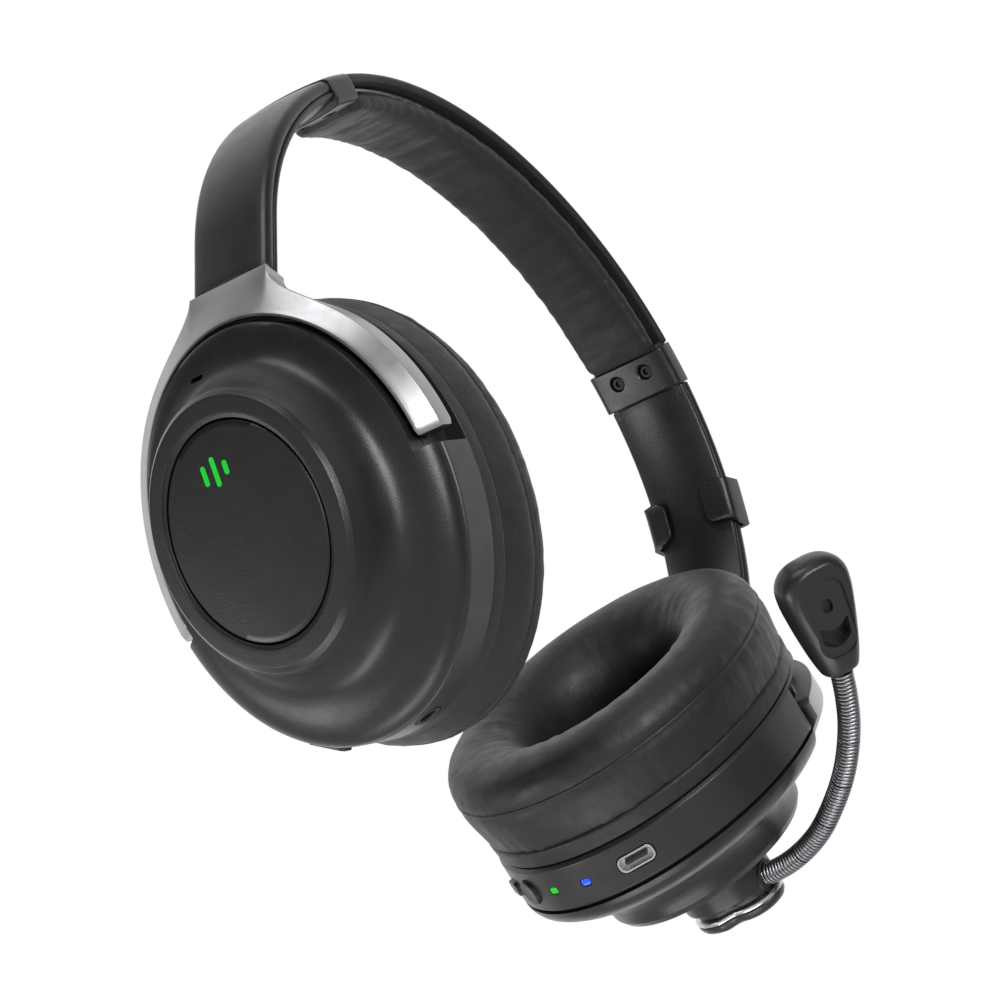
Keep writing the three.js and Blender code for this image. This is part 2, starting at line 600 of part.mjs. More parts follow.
// The boom's frame: X along its reach, Y out of the ear, turned about the hub's axis.
function boom(group) {
  const frame = new THREE.Group();
  frame.applyMatrix4(cupMatrix(1));
  frame.rotateY(BOOM.droop * DEG);
  group.add(frame);

  const route = neckCurve();
  const snoutRadius = BOOM.neckRadius + SNOUT.wall;
  const socket = solid(neckPiece(route, 0, SOCKET_TO, BOOM.neckRadius + GAP));
  const snout = solid(neckPiece(route, SNOUT.from, SNOUT.to, snoutRadius));
  const aroundSnout = solid(neckPiece(route, SNOUT.from - 0.006, SNOUT.to + 0.006, snoutRadius + GAP));
  const aboveBase = solid(block(80, 20, 80, 0, BOOM.base.high + 10, 0));
  const base = cut(join(solid(stadium(BOOM.base, 1.2)), snout), aboveBase);
  const room = solid(stadium({ ...BOOM.base, low: BOOM.base.low - GAP, high: 40 }, 0, GAP));
  const hub = cut(solid(rod(BOOM.hub.radius, BOOM.hub.low, BOOM.hub.high, 28)), room, aroundSnout, socket);
  frame.add(mesh("boom_hub", hub, "satin_plastic"));
  frame.add(mesh("boom_base", cut(base, socket), "satin_plastic"));
  frame.add(mesh("boom_trim", solid(stadium(BOOM.trim, 0.3)), "dark_chrome"));
  frame.add(mesh("boom_cap", solid(stadium(BOOM.cap, 0.9)), "satin_plastic"));

  const gap = NECK_JOINT_GAP / route.getLength();
  for (let i = 0; i < NECK_SEGMENTS; i++) {
    const from = NECK_FROM + ((1 - NECK_FROM) * i) / NECK_SEGMENTS + (i ? gap / 2 : 0);
    const to = NECK_FROM + ((1 - NECK_FROM) * (i + 1)) / NECK_SEGMENTS - gap / 2;
    const piece = solid(neckPiece(route, from, to, BOOM.neckRadius));
    frame.add(mesh(`gooseneck_${i + 1}`, piece, "rubber"));
  }

  const head = capsuleMatrix(route);
  const half = CAPSULE.depth / 2;
  const opening = solid(rod(MIC.opening, -4, 4, 14).rotateX(Math.PI / 2).translate(0, MIC.up, half - 2));
  const bed = solid(rod(MIC.bed, 0, MIC.height + 0.5, 16).rotateX(Math.PI / 2).translate(0, MIC.up, MIC.low - 0.2));
  const front = cut(solid(capsuleShell(0.15, half, 1.5)), opening, bed);
  const back = solid(capsuleShell(-half, -0.15, 1.5));
  const element = solid(rod(MIC.radius, 0, MIC.height, 14).rotateX(Math.PI / 2).translate(0, MIC.up, MIC.low));
  for (const [name, piece, finish] of [
    ["mic_shell_front", front, "satin_plastic"],
    ["mic_shell_back", back, "satin_plastic"],
    ["mic_element", element, "steel"],
  ]) {
    const made = mesh(name, piece, finish);
    made.applyMatrix4(head);
    frame.add(made);
  }
}

// ---------------------------------------------------------------- assembly
const headset = new THREE.Group();
headset.name = "headset";
headband(headset);
for (const [side, label] of [[1, "left"], [-1, "right"]]) {
  collar(headset, side, label);
  arm(headset, side, label);
  slider(headset, side, label);
  yoke(headset, side, label);
  cup(headset, side, label);
}
boomClip(headset);
boom(headset);

export default headset;
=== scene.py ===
import math

import bpy
import bmesh
import numpy as np
from mathutils import Matrix, Vector, noise


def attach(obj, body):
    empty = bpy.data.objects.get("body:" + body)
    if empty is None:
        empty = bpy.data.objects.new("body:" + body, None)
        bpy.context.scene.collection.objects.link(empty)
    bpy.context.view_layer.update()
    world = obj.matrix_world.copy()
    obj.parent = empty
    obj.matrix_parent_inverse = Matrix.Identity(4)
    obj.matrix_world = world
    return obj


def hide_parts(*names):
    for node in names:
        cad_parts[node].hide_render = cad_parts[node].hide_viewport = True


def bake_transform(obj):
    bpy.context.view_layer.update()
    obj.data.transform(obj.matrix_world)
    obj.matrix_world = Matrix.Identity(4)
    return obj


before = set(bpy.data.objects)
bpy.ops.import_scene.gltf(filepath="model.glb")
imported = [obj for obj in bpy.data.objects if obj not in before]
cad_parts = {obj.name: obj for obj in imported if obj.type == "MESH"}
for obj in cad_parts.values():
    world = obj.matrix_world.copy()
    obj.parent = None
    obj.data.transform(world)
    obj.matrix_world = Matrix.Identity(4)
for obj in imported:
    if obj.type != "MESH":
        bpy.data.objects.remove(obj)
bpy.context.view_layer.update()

# ---- driving dimensions, in millimetres
MM = 0.001
DEG = math.pi / 180

BAND_HALF_SPAN = 89
BAND_RISE = 75.2
BAND_STRAIGHT = 14.5
BAND_WIDTH = 19.5
SPRING_LINE_Z = -65.6
ARM_END_Z = SPRING_LINE_Z - BAND_STRAIGHT
PAD_TOP = 4.3
PAD_BOTTOM = 9.6
PAD_END = 42.5
COLLAR_END = 49.6
ARM_DEPTH = 6.3

CUP_CENTRE = (64.7, 0, -127.6)
CUP_TILT = 33.1
OVAL = 0.78
RIM = 46
RIM_MIDDLE = -5.9
BOOM_DROOP = 6
NECK_RADIUS = 2.5
NECK_SEGMENTS = 6
NECK_START = 0.012
NECK_ROUTE = [
    (3.6, 23.8), (9.5, 24.5), (17.5, 23.6), (26.5, 20.2), (34.8, 14.4),
    (42, 7.6), (48.2, -0.7), (51.6, -7.3), (53.8, -13),
]
SIDES = ((1, "left"), (-1, "right"))


def new_object(name, data):
    """An object, put in the scene."""
    made = bpy.data.objects.new(name, data)
    bpy.context.scene.collection.objects.link(made)
    return made


def axes(x, y, z):
    """The turn that carries X, Y and Z to three directions."""
    return Matrix((x, y, z)).transposed().to_4x4()


# ---- camera
VIEW_AZIMUTH = -55.0
VIEW_ELEVATION = -35.98
VIEW_ROLL = -2.33
VIEW_DISTANCE = 1.1604
VIEW_LENS = 200.05
VIEW_AIM = Vector((-0.0151, -0.0137, -0.0997))


def view_axes():
    a, e, roll = VIEW_AZIMUTH * DEG, VIEW_ELEVATION * DEG, VIEW_ROLL * DEG
    back = Vector((math.sin(a) * math.cos(e), -math.cos(a) * math.cos(e), math.sin(e)))
    level = Vector((math.cos(a), math.sin(a), 0))
    upright = level.cross(-back)
    right = level * math.cos(roll) + upright * math.sin(roll)
    return right, right.cross(-back), back


def make_camera():
    right, up, back = view_axes()
    data = bpy.data.cameras.new("camera")
    data.lens = VIEW_LENS
    data.clip_end = 20
    camera = new_object("camera", data)
    camera.matrix_world = Matrix.Translation(VIEW_AIM + back * VIEW_DISTANCE) @ axes(right, up, back)
    bpy.context.scene.camera = camera


# ---- materials
def new_material(name):
    made = bpy.data.materials.new(name)
    made.use_nodes = True
    tree = made.node_tree
    return made, tree, tree.nodes["Principled BSDF"]


def put(owner, **settings):
    for key, value in settings.items():
        setattr(owner, key, value)


def feed(tree, shader, inputs):
    """Sets a node's inputs to values, or links them to the outputs of other nodes."""
    for key, value in inputs.items():
        if isinstance(value, bpy.types.NodeSocket):
            tree.links.new(value, shader.inputs[key])
        else:
            shader.inputs[key].default_value = value


def node(tree, kind, inputs=None, **settings):
    made = tree.nodes.new(kind)
    put(made, **settings)
    feed(tree, made, inputs or {})
    return made


def noise_value(tree, scale, detail=3, roughness=0.5):
    place = node(tree, "ShaderNodeTexCoord")
    inputs = {"Vector": place.outputs["Object"], "Scale": scale, "Detail": detail, "Roughness": roughness}
    return node(tree, "ShaderNodeTexNoise", inputs).outputs["Fac"]


def varied(tree, value, low, high):
    """The value, which runs from 0 to 1, stretched to run from low to high."""
    inputs = {"Value": value, "From Min": 0.3, "From Max": 0.7, "To Min": low, "To Max": high}
    return node(tree, "ShaderNodeMapRange", inputs).outputs["Result"]


def shaded(tree, colour, value, spread):
    """The colour, darker or lighter by up to spread as the value runs from 0 to 1."""
    low = tuple(c * (1 - spread) for c in colour) + (1,)
    high = tuple(c * (1 + spread) for c in colour) + (1,)
    return node(tree, "ShaderNodeMix", {"Factor": value, 6: low, 7: high}, data_type="RGBA").outputs[2]


def bump(tree, height, distance, strength=1, under=None):
    inputs = {"Height": height, "Distance": distance, "Strength": strength}
    if under is not None:
        inputs["Normal"] = under
    return node(tree, "ShaderNodeBump", inputs).outputs["Normal"]


def plastic(name, colour, roughness):
    """Moulded plastic: fine spark-eroded grain, faint cloudiness and uneven gloss."""
    made, tree, shader = new_material(name)
    colour = shaded(tree, colour, noise_value(tree, 60), 0.06)
    gloss = varied(tree, noise_value(tree, 220, 4), roughness - 0.04, roughness + 0.05)
    fine = bump(tree, noise_value(tree, 2600, 2), 0.00003)
    grain = bump(tree, noise_value(tree, 90, 2), 0.00002, under=fine)
    feed(tree, shader, {"Base Color": colour, "Roughness": gloss, "Normal": grain})
    return made


def leatherette(name, colour, roughness=0.52):
    """Soft black leatherette: pebbled cells, fine creases and a little sheen."""
    made, tree, shader = new_material(name)
    place = node(tree, "ShaderNodeTexCoord").outputs["Object"]
    bend = node(tree, "ShaderNodeTexNoise", {"Vector": place, "Scale": 700, "Detail": 2})
    shift = node(tree, "ShaderNodeVectorMath", {0: bend.outputs["Color"], 1: (0.0007, 0.0007, 0.0007)},
                 operation="MULTIPLY")
    moved = node(tree, "ShaderNodeVectorMath", {0: place, 1: shift.outputs["Vector"]}, operation="ADD")
    cells = node(tree, "ShaderNodeTexVoronoi", {"Vector": moved.outputs["Vector"], "Scale": 1050},
                 feature="DISTANCE_TO_EDGE")
    coarse = noise_value(tree, 260, 5, 0.6)
    pebble = bump(tree, varied(tree, cells.outputs["Distance"], 0, 1), 0.00008, 0.8)
    feed(tree, shader, {
        "Normal": bump(tree, coarse, 0.00030, 0.55, under=pebble),
        "Base Color": shaded(tree, colour, noise_value(tree, 150, 4), 0.16),
        "Roughness": varied(tree, coarse, roughness - 0.07, roughness + 0.09),
        "Sheen Weight": 0.05, "Sheen Roughness": 0.4,
    })
    return made


def satin_metal(name, colour, roughness):
    """Bead-blasted, plated metal with a faint cloudiness in its gloss."""
    made, tree, shader = new_material(name)
    feed(tree, shader, {
        "Base Color": shaded(tree, colour, noise_value(tree, 45), 0.04),
        "Roughness": varied(tree, noise_value(tree, 320, 4), roughness - 0.03, roughness + 0.04),
        "Normal": bump(tree, noise_value(tree, 3200, 2), 0.000012),
        "Metallic": 1,
    })
    return made


def lit_lens_and_painted_glow(name, colour, strength):
    """A small lens with a light behind it. The printed mark uses it too, as a painted glow: the print gives
    off light with no lamp behind it.
    """
    made, tree, shader = new_material(name)
    feed(tree, shader, {
        "Base Color": shaded(tree, colour, noise_value(tree, 900), 0.15),
        "Emission Color": (*colour, 1), "Emission Strength": strength, "Roughness": 0.25,
    })
    return made


def woven(name, colour):
    """Fine acoustic cloth: two crossing sets of threads."""
    made, tree, shader = new_material(name)
    place = node(tree, "ShaderNodeTexCoord").outputs["Object"]
    inputs = {"Vector": place, "Scale": 420, "Distortion": 0.6}
    threads = [node(tree, "ShaderNodeTexWave", inputs, bands_direction=d).outputs["Fac"] for d in ("X", "Z")]
    weave = node(tree, "ShaderNodeMath", {0: threads[0], 1: threads[1]}, operation="MULTIPLY").outputs[0]
    colour = shaded(tree, colour, weave, 0.5)
    feed(tree, shader, {"Base Color": colour, "Normal": bump(tree, weave, 0.0001), "Roughness": 0.9})
    return made


LOOK = {
    "shell": plastic("satin_shell", (0.013, 0.013, 0.014), 0.33),
    "rim": plastic("satin_rim", (0.018, 0.018, 0.019), 0.36),
    "panel": plastic("panel", (0.009, 0.009, 0.010), 0.33),
    "arm": plastic("arm_plastic", (0.012, 0.012, 0.013), 0.33),
    "lid": plastic("arm_lid_plastic", (0.010, 0.010, 0.011), 0.36),
    "black": plastic("black_plastic", (0.006, 0.006, 0.007), 0.5),
    "button": plastic("button_plastic", (0.012, 0.012, 0.013), 0.4),
    "boom": plastic("boom_plastic", (0.015, 0.015, 0.017), 0.34),
    "leather": leatherette("leatherette", (0.009, 0.009, 0.0095)),
    "piping": leatherette("piping_leatherette", (0.008, 0.008, 0.0085), 0.5),
    "nickel": satin_metal("satin_nickel", (0.36, 0.36, 0.37), 0.33),
    "steel": satin_metal("satin_steel", (0.62, 0.62, 0.64), 0.25),
    "sleeve": satin_metal("neck_sleeve", (0.30, 0.30, 0.32), 0.36),
    "cloth": woven("acoustic_cloth", (0.012, 0.012, 0.013)),
    "circuit": plastic("solder_mask", (0.02, 0.12, 0.04), 0.35),
    "foil": satin_metal("cell_foil", (0.5, 0.52, 0.55), 0.35),
    "green": lit_lens_and_painted_glow("lens_green", (0.005, 0.50, 0.02), 0.3),
    "blue": lit_lens_and_painted_glow("lens_blue", (0.01, 0.08, 0.75), 0.35),
    # Painted glow: the printed mark gives off light as if lit from behind, though it is only print.
    "print_painted_glow": lit_lens_and_painted_glow("printed_green_painted_glow", (0.001, 0.42, 0.02), 0.5),
}


# ---- outlines
def arc(start, corner, end, t):
    """A point of the curve from start to end that a corner draws out."""
    return start * (1 - t) ** 2 + corner * 2 * t * (1 - t) + end * t * t


def fillet(points, closed=True, steps=5):
    """A polyline of (..., radius) with each corner rounded by its radius."""
    made = []
    count = len(points)
    for i, (*place, radius) in enumerate(points):
        corner = Vector(place)
        if not radius or (not closed and i in (0, count - 1)):
            made.append(tuple(corner))
            continue
        before = Vector(points[i - 1][:-1]) - corner
        after = Vector(points[(i + 1) % count][:-1]) - corner
        half = before.angle(after, math.pi) / 2
        reach = min(radius / math.tan(half), before.length * 0.48, after.length * 0.48)
        start = corner + before.normalized() * reach
        end = corner + after.normalized() * reach
        made += [tuple(arc(start, corner, end, k / steps)) for k in range(steps + 1)]
    return made


def spline(points, steps=6):
    """A Catmull-Rom curve through points of any dimension."""
    held = [Vector(p) for p in points]
    held = [held[0] * 2 - held[1], *held, held[-1] * 2 - held[-2]]
    made = []
    for i in range(1, len(held) - 2):
        a, b, c, d = held[i - 1 : i + 3]
        for k in range(steps):
            t = k / steps
            made.append(tuple(0.5 * (2 * b + (c - a) * t + (2 * a - 5 * b + 4 * c - d) * t * t
                                     + (3 * b - a - 3 * c + d) * t ** 3)))
    return made + [tuple(held[-2])]


def circle(radius, count=48):
    turns = [2 * math.pi * i / count for i in range(count)]
    return lambda inset: [((radius - inset) * math.cos(t), (radius - inset) * math.sin(t)) for t in turns]


def rounded_box(half_x, half_y, corner, steps=6):
    def outline(inset):
        a, b = half_x - inset, half_y - inset
        r = max(corner - inset, 0.05)
        made = []
        for quarter, (sx, sy) in enumerate(((1, 1), (-1, 1), (-1, -1), (1, -1))):
            for k in range(steps + 1):
                t = (quarter + k / steps) * math.pi / 2
                made.append((sx * (a - r) + r * math.cos(t), sy * (b - r) + r * math.sin(t)))
        return made
    return outline


def waisted(half, back, reach, tip, waist, steps=14):
    """A long plate round the hub: a big round end, a smaller one, and sides that draw in between."""
    def half_turn(start):
        return [math.pi * (start + k / steps) for k in range(steps + 1)]

    def outline(inset):
        big, small = half - inset, tip - inset
        made = [(-back + big * math.cos(t), big * math.sin(t)) for t in half_turn(0.5)]
        sides = []
        for k in range(1, steps):
            t = k / steps
            ease = t * t * (3 - 2 * t)
            wide = big + (small - big) * ease - waist * math.sin(math.pi * t) ** 2
            sides.append((-back + (reach + back) * t, wide))
        made += [(x, -y) for x, y in sides]
        made += [(reach + small * math.cos(t), small * math.sin(t)) for t in half_turn(-0.5)]
        return made + [(x, y) for x, y in reversed(sides)]
    return outline


# ---- meshes
def smooth(mesh, angle=32):
    mesh.polygons.foreach_set("use_smooth", [True] * len(mesh.polygons))
    mesh.set_sharp_from_angle(angle=angle * DEG)


def solid_mesh(name, points, faces, place=None):
    """A closed mesh in metres from points in millimetres, with its faces turned outward."""
    turn = place or Matrix.Identity(4)
    mesh = bpy.data.meshes.new(name)
    mesh.from_pydata([(turn @ Vector(p)) * MM for p in points], [], faces)
    work = bmesh.new()
    work.from_mesh(mesh)
    bmesh.ops.remove_doubles(work, verts=work.verts, dist=1e-7)
    bmesh.ops.recalc_face_normals(work, faces=work.faces)
    work.to_mesh(mesh)
    work.free()
    smooth(mesh)
    return mesh


def loft(rings, cyclic=False):
    """Points and faces of a skin over closed rings of equal count."""
    wide, count = len(rings[0]), len(rings)
    points = [p for ring in rings for p in ring]
    faces = []
    for i in range(count if cyclic else count - 1):
        a, b = i * wide, (i + 1) % count * wide
        for k in range(wide):
            m = (k + 1) % wide
            faces.append((a + k, a + m, b + m, b + k))
    if not cyclic:
        faces.append(tuple(range(wide)))
        faces.append(tuple(range((count - 1) * wide, count * wide)))
    return points, faces


def plug(outline, profile):
    """A plug along Y from an outline in X and Z: the profile is (inset, height) from its base to its top."""
    return loft([[(x, height, z) for x, z in outline(inset)] for inset, height in profile])


def new_piece(name, shape, look, place=None):
    mesh = solid_mesh(name, *shape, place)
    mesh.materials.append(LOOK[look])
    return new_object(name, mesh)


def add(name, shape, look, body, stands_for=(), place=None):
    piece = new_piece(name, shape, look, place)
    settle(piece, body, stands_for)
    return piece


def settle(piece, body, stands_for=()):
    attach(piece, body)
    if stands_for:
        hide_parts(*stands_for)


def baked(piece):
    """Applies the piece's modifiers to its mesh."""
    graph = bpy.context.evaluated_depsgraph_get()
    done = bpy.data.meshes.new_from_object(piece.evaluated_get(graph))
    piece.modifiers.clear()
    piece.data = done
    return piece


def modify(piece, kind, **settings):
    """Applies one modifier to the piece's mesh."""
    put(piece.modifiers.new(kind.lower(), kind), **settings)
    return baked(piece)


def carve(piece, shape, place=None):
    """Cuts a closed shape out of a piece."""
    cutter = new_object("cutter", solid_mesh("cutter", *shape, place))
    modify(piece, "BOOLEAN", operation="DIFFERENCE", solver="EXACT", object=cutter)
    bpy.data.objects.remove(cutter)
    smooth(piece.data)
    return piece


# ---- headband
def band_point(depth, y, angle, drop=0):
    return (
        (BAND_HALF_SPAN - depth) * math.sin(angle * DEG),
        y,
        SPRING_LINE_Z + (BAND_RISE - depth) * math.cos(angle * DEG) - drop,
    )


MM_PER_DEGREE = 1.42
BAND_COVER = 2.6  # depth of the cover over the band
COLLAR_WIDTH = 20.2
CORE_WIDTH, CORE_TOP, CORE_BOTTOM = 18, 0.9, 5.4
ARM_SHELL, ARM_LINING = 4.2, 3.9  # depth of the arm's outer shell, and where its lining starts


def rounded_end(radius):
    """(distance along, inset) over an end rounded by radius, from its tip inwards."""
    return [(radius * (1 - math.cos(k * 15 * DEG)), radius * (1 - math.sin(k * 15 * DEG))) for k in range(7)]


def stations(start, end, radius, steps, drop=0):
    """(angle, drop, inset) along the band, with both ends rounded over by radius."""
    rounding = rounded_end(radius)
    made = [(start + along / MM_PER_DEGREE, 0, inset) for along, inset in rounding]
    last = end if drop else end - radius / MM_PER_DEGREE
    first = start + radius / MM_PER_DEGREE
    made += [(first + (last - first) * k / steps, 0, 0) for k in range(1, steps)]
    if drop:
        made += [(end, drop * k / 6, 0) for k in range(6)]
        made += [(end, drop - along, inset) for along, inset in reversed(rounding)]
    else:
        made += [(end - along / MM_PER_DEGREE, 0, inset) for along, inset in reversed(rounding)]
    return made


def slab(width, top, bottom, corner, crown=0.0, belly=0.0):
    """Section of a strip: (y, depth) round a rounded rectangle with crowned sides."""
    def section(inset):
        half, low, high = width / 2 - inset, top + inset, bottom - inset
        r = max(corner - inset, 0.1)
        across = 8
        made = []
        for sign_y, sign_d, start in ((1, 1, 0), (-1, 1, 90), (-1, -1, 180), (1, -1, 270)):
            centre_y = sign_y * (half - r)
            centre_d = high - r if sign_d > 0 else low + r
            for k in range(6):
                t = (start + 18 * k) * DEG
                made.append((centre_y + r * math.cos(t), centre_d + r * math.sin(t)))
            if sign_y == sign_d:
                depth = high if sign_d > 0 else low
                made += [(sign_y * (half - r) * (1 - 2 * k / across), depth) for k in range(1, across)]
        middle = (low + high) / 2
        return [(y, d + (crown if d < middle else -belly) * (2 * y / width) ** 2) for y, d in made]
    return section


def strip(section, along, side=1):
    rings = []
    for angle, drop, inset in along:
        ring = [band_point(depth, y, angle, drop) for y, depth in section(inset)]
        rings.append([(side * x, side * y, z) for x, y, z in ring])
    return loft(rings)


def make_headband():
    cover = strip(slab(BAND_WIDTH, 0, BAND_COVER, 1.1, 0.5), stations(-PAD_END, PAD_END, 0.6, 72))
    add("band_skin", cover, "leather", "headband", ["band_cover"])
    for side, label in SIDES:
        make_collar(side, label)
        make_arm(side, label)
    make_clip()


COLLAR_SCREW_ANGLE = 45.4
COLLAR_SCREW_Y = 3.8
COLLAR_DEPTH = 7.4
SCREW_PROFILE = [(0.1, -2.9), (0, -2.8), (0, -1.2), (0.25, -0.95), (0.85, -0.9), (0.85, -1.6)]


def collar_screw_place(side, y):
    """Y out of the collar's inner face, at a screw."""
    x, _, z = band_point(COLLAR_DEPTH, 0, COLLAR_SCREW_ANGLE)
    inward = Vector((-side * math.sin(COLLAR_SCREW_ANGLE * DEG), 0, -math.cos(COLLAR_SCREW_ANGLE * DEG)))
    turn = Vector((0, 1, 0)).rotation_difference(inward).to_matrix().to_4x4()
    return Matrix.Translation((side * x, side * y, z)) @ turn


def make_collar(side, label):
    shape = strip(slab(COLLAR_WIDTH, -0.25, COLLAR_DEPTH, 1.6, 0.6, 0.7),
                  stations(PAD_END + 0.15, COLLAR_END, 0.3, 10), side)
    piece = add(f"{label}_collar_shell", shape, "arm", "headband", [f"collar_{label}"])
    for y in (-COLLAR_SCREW_Y, COLLAR_SCREW_Y):
        place = collar_screw_place(side, y)
        hole = plug(circle(1.75, 32), [(0, -1.7), (0, -0.25), (-0.35, 0.1), (-0.35, 3)])
        carve(piece, hole, place)
        head = plug(circle(1.6, 32), SCREW_PROFILE)
        end = "front" if side * y < 0 else "rear"
        screw = f"collar_screw_{label}_{end}"
        add(f"{label}_{end}_screw", head, "black", "headband", [screw], place)
    # The band's core closes the narrow gaps at the collar's ends.
    core = strip(slab(CORE_WIDTH, CORE_TOP, CORE_BOTTOM, 0.8),
                 stations(PAD_END - 0.6, COLLAR_END + 2, 0.2, 10), side)
    add(f"{label}_band_core", core, "black", "headband")


NOTCH_RISE = 3.4  # middle of the notch in an arm's lining, above the arm's end


def make_arm(side, label):
    along = stations(COLLAR_END + 0.15, 90, 0.3, 36, BAND_STRAIGHT)
    shell = strip(slab(BAND_WIDTH, 0, ARM_SHELL, 1.4, 0.7, 0.5), along, side)
    add(f"{label}_arm", shell, "arm", "headband", [f"arm_shell_{label}"])
    lid = strip(slab(BAND_WIDTH - 0.1, ARM_LINING, ARM_DEPTH + 0.5, 0.6, -0.5, 2.2), along, side)
    piece = add(f"{label}_arm_lining", lid, "lid", "headband", [f"arm_lid_{label}"])
    notch = plug(rounded_box(3.3, 1.6, 0.8), [(0, -3), (0, 3)])
    turn = Matrix.Rotation(90 * DEG, 4, "Z")
    spot = Matrix.Translation((side * (BAND_HALF_SPAN - ARM_DEPTH), 0, ARM_END_Z + NOTCH_RISE))
    carve(piece, notch, spot @ turn)


CLIP_FROM, CLIP_TO = 68, 76
CLIP_CORNER = 2.6


def make_clip():
    """The clip on the left arm that the boom parks against."""
    half, ear_end = 11.2, 5
    rounding = rounded_end(CLIP_CORNER)
    spots = [(CLIP_FROM + run / MM_PER_DEGREE, inset) for run, inset in rounding]
    spots += [(CLIP_TO - run / MM_PER_DEGREE, inset) for run, inset in reversed(rounding)]
    rings = []
    for angle, inset in spots:
        mouth = ear_end + inset
        outline = [
            (-half, -1.3, 1.6), (half, -1.3, 1.6), (half, 6.2, 2.2), (mouth, 7.7, 0.4), (mouth, 6.9, 0.1),
            (10, 5.2, 0.8), (10, -0.3, 0.6), (-10, -0.3, 0.6), (-10, 5.2, 0.8), (-mouth, 6.9, 0.1),
            (-mouth, 7.7, 0.4), (-half, 6.2, 2.2),
        ]
        rings.append([band_point(d, y, angle) for y, d in fillet(outline)])
    add("parking_clip", loft(rings), "arm", "headband", ["boom_clip"])


# ---- yokes
def cup_place(side):
    """The cup's own frame: X front to back, Y out of the ear, Z up along the cup."""
    tilt = CUP_TILT * DEG
    out = Vector((side * math.cos(tilt), 0, -math.sin(tilt)))
    up = Vector((side * math.sin(tilt), 0, math.cos(tilt)))
    x, y, z = CUP_CENTRE
    return Matrix.Translation((side * x, y, z)) @ axes(out.cross(up), out, up)


def oval_point(side, half, high, angle, h):
    return Vector((side * half * math.sin(angle * DEG), h, -high * math.cos(angle * DEG)))


YOKE_OUTER = (37.4, 47.6)
YOKE_INNER = (33.1, 43.3)
YOKE_FACE, YOKE_BACK = 3.2, -5.8
YOKE_SLOPE = 4
YOKE_FROM, YOKE_TO = 98, 284
YOKE_STEPS = (0.2, 0.35, 0.5, 0.65, 0.8)
NECK_HALF_ANGLE, NECK_FLARE_ANGLE = 15.5, 52
# Angle where each stretch of the bow starts, and its number of columns.
YOKE_STRETCHES = [
    (YOKE_FROM, 20), (180 - NECK_FLARE_ANGLE, 30), (180 - NECK_HALF_ANGLE, 24),
    (180 + NECK_HALF_ANGLE, 30), (180 + NECK_FLARE_ANGLE, 32), (YOKE_TO, 0),
]


def yoke_edge(side, angle, h, x, to_cup):
    """Outer edge of the yoke: the bow's own, drawn up into the neck under the arm."""
    away = angle - 180
    if abs(away) >= NECK_FLARE_ANGLE:
        return oval_point(side, *YOKE_OUTER, angle, h)
    def under_arm(y, below):
        return to_cup @ Vector((side * x, y, ARM_END_Z - below))

    if abs(away) <= NECK_HALF_ANGLE:
        return under_arm(away / NECK_HALF_ANGLE * BAND_WIDTH / 2, 0.3)
    # Front is at -Y, and angles under 180 are towards the front.
    sign = -1 if away < 0 else 1
    corner = under_arm(sign * BAND_WIDTH / 2, 0.3)
    waist = under_arm(sign * (BAND_WIDTH / 2 + 0.5), 8.5)
    t = (abs(away) - NECK_HALF_ANGLE) / (NECK_FLARE_ANGLE - NECK_HALF_ANGLE)
    end_angle = 180 + sign * NECK_FLARE_ANGLE
    end = oval_point(side, *YOKE_OUTER, end_angle, h)
    slope = end - oval_point(side, *YOKE_OUTER, end_angle + sign * 1.0, h)
    pull = end + slope.normalized() * 15
    return corner * (1 - t) ** 3 + waist * 3 * t * (1 - t) ** 2 + pull * 3 * t * t * (1 - t) + end * t ** 3


def make_yoke(side, label):
    place = cup_place(side)
    to_cup = place.inverted()
    outer_x, inner_x = BAND_HALF_SPAN, BAND_HALF_SPAN - ARM_DEPTH
    columns = []
    for (low, count), (high, _) in zip(YOKE_STRETCHES, YOKE_STRETCHES[1:]):
        columns += [low + (high - low) * k / count for k in range(count)]
    columns.append(YOKE_TO)
    rings = []
    for angle in columns:
        near_end = min(angle - YOKE_FROM, YOKE_TO - angle)
        draw = 0.8 * max(0, 1 - near_end / 1.0) ** 2
        a = oval_point(side, *YOKE_INNER, angle, YOKE_FACE - draw)
        d = oval_point(side, *YOKE_INNER, angle, YOKE_BACK + draw)
        b = yoke_edge(side, angle, YOKE_FACE - YOKE_SLOPE - draw, outer_x, to_cup)
        c = yoke_edge(side, angle, YOKE_BACK + draw, inner_x, to_cup)
        face_corner = oval_point(side, *YOKE_OUTER, angle, YOKE_FACE - YOKE_SLOPE - draw)
        back_corner = oval_point(side, *YOKE_OUTER, angle, YOKE_BACK + draw)
        corner = 0.7 if abs(angle - 180) > NECK_HALF_ANGLE else 0.3
        face = [(*arc(a, face_corner, b, t), 0) for t in YOKE_STEPS]
        back = [(*arc(c, back_corner, d, t), 0) for t in YOKE_STEPS]
        rings.append(fillet([(*a, 0.7), *face, (*b, corner), (*c, corner), *back, (*d, 0.7)], steps=4))
    piece = new_piece(f"{label}_bow", loft(rings), "nickel", place)
    smooth(piece.data, 50)
    settle(piece, f"yoke_{label}", [f"yoke_{label}"])


# ---- cups
RECESS = (32.1, 42.25)
RECESS_FLOOR = -10.8
RECESS_FROM, RECESS_TO = 94.5, 287.5


def recess_radius(angle):
    """Distance from the cup's middle to the wall of the step that the yoke sits in."""
    s, c = OVAL * math.sin(angle * DEG) / RECESS[0], math.cos(angle * DEG) / RECESS[1]
    return 1 / math.hypot(s, c)


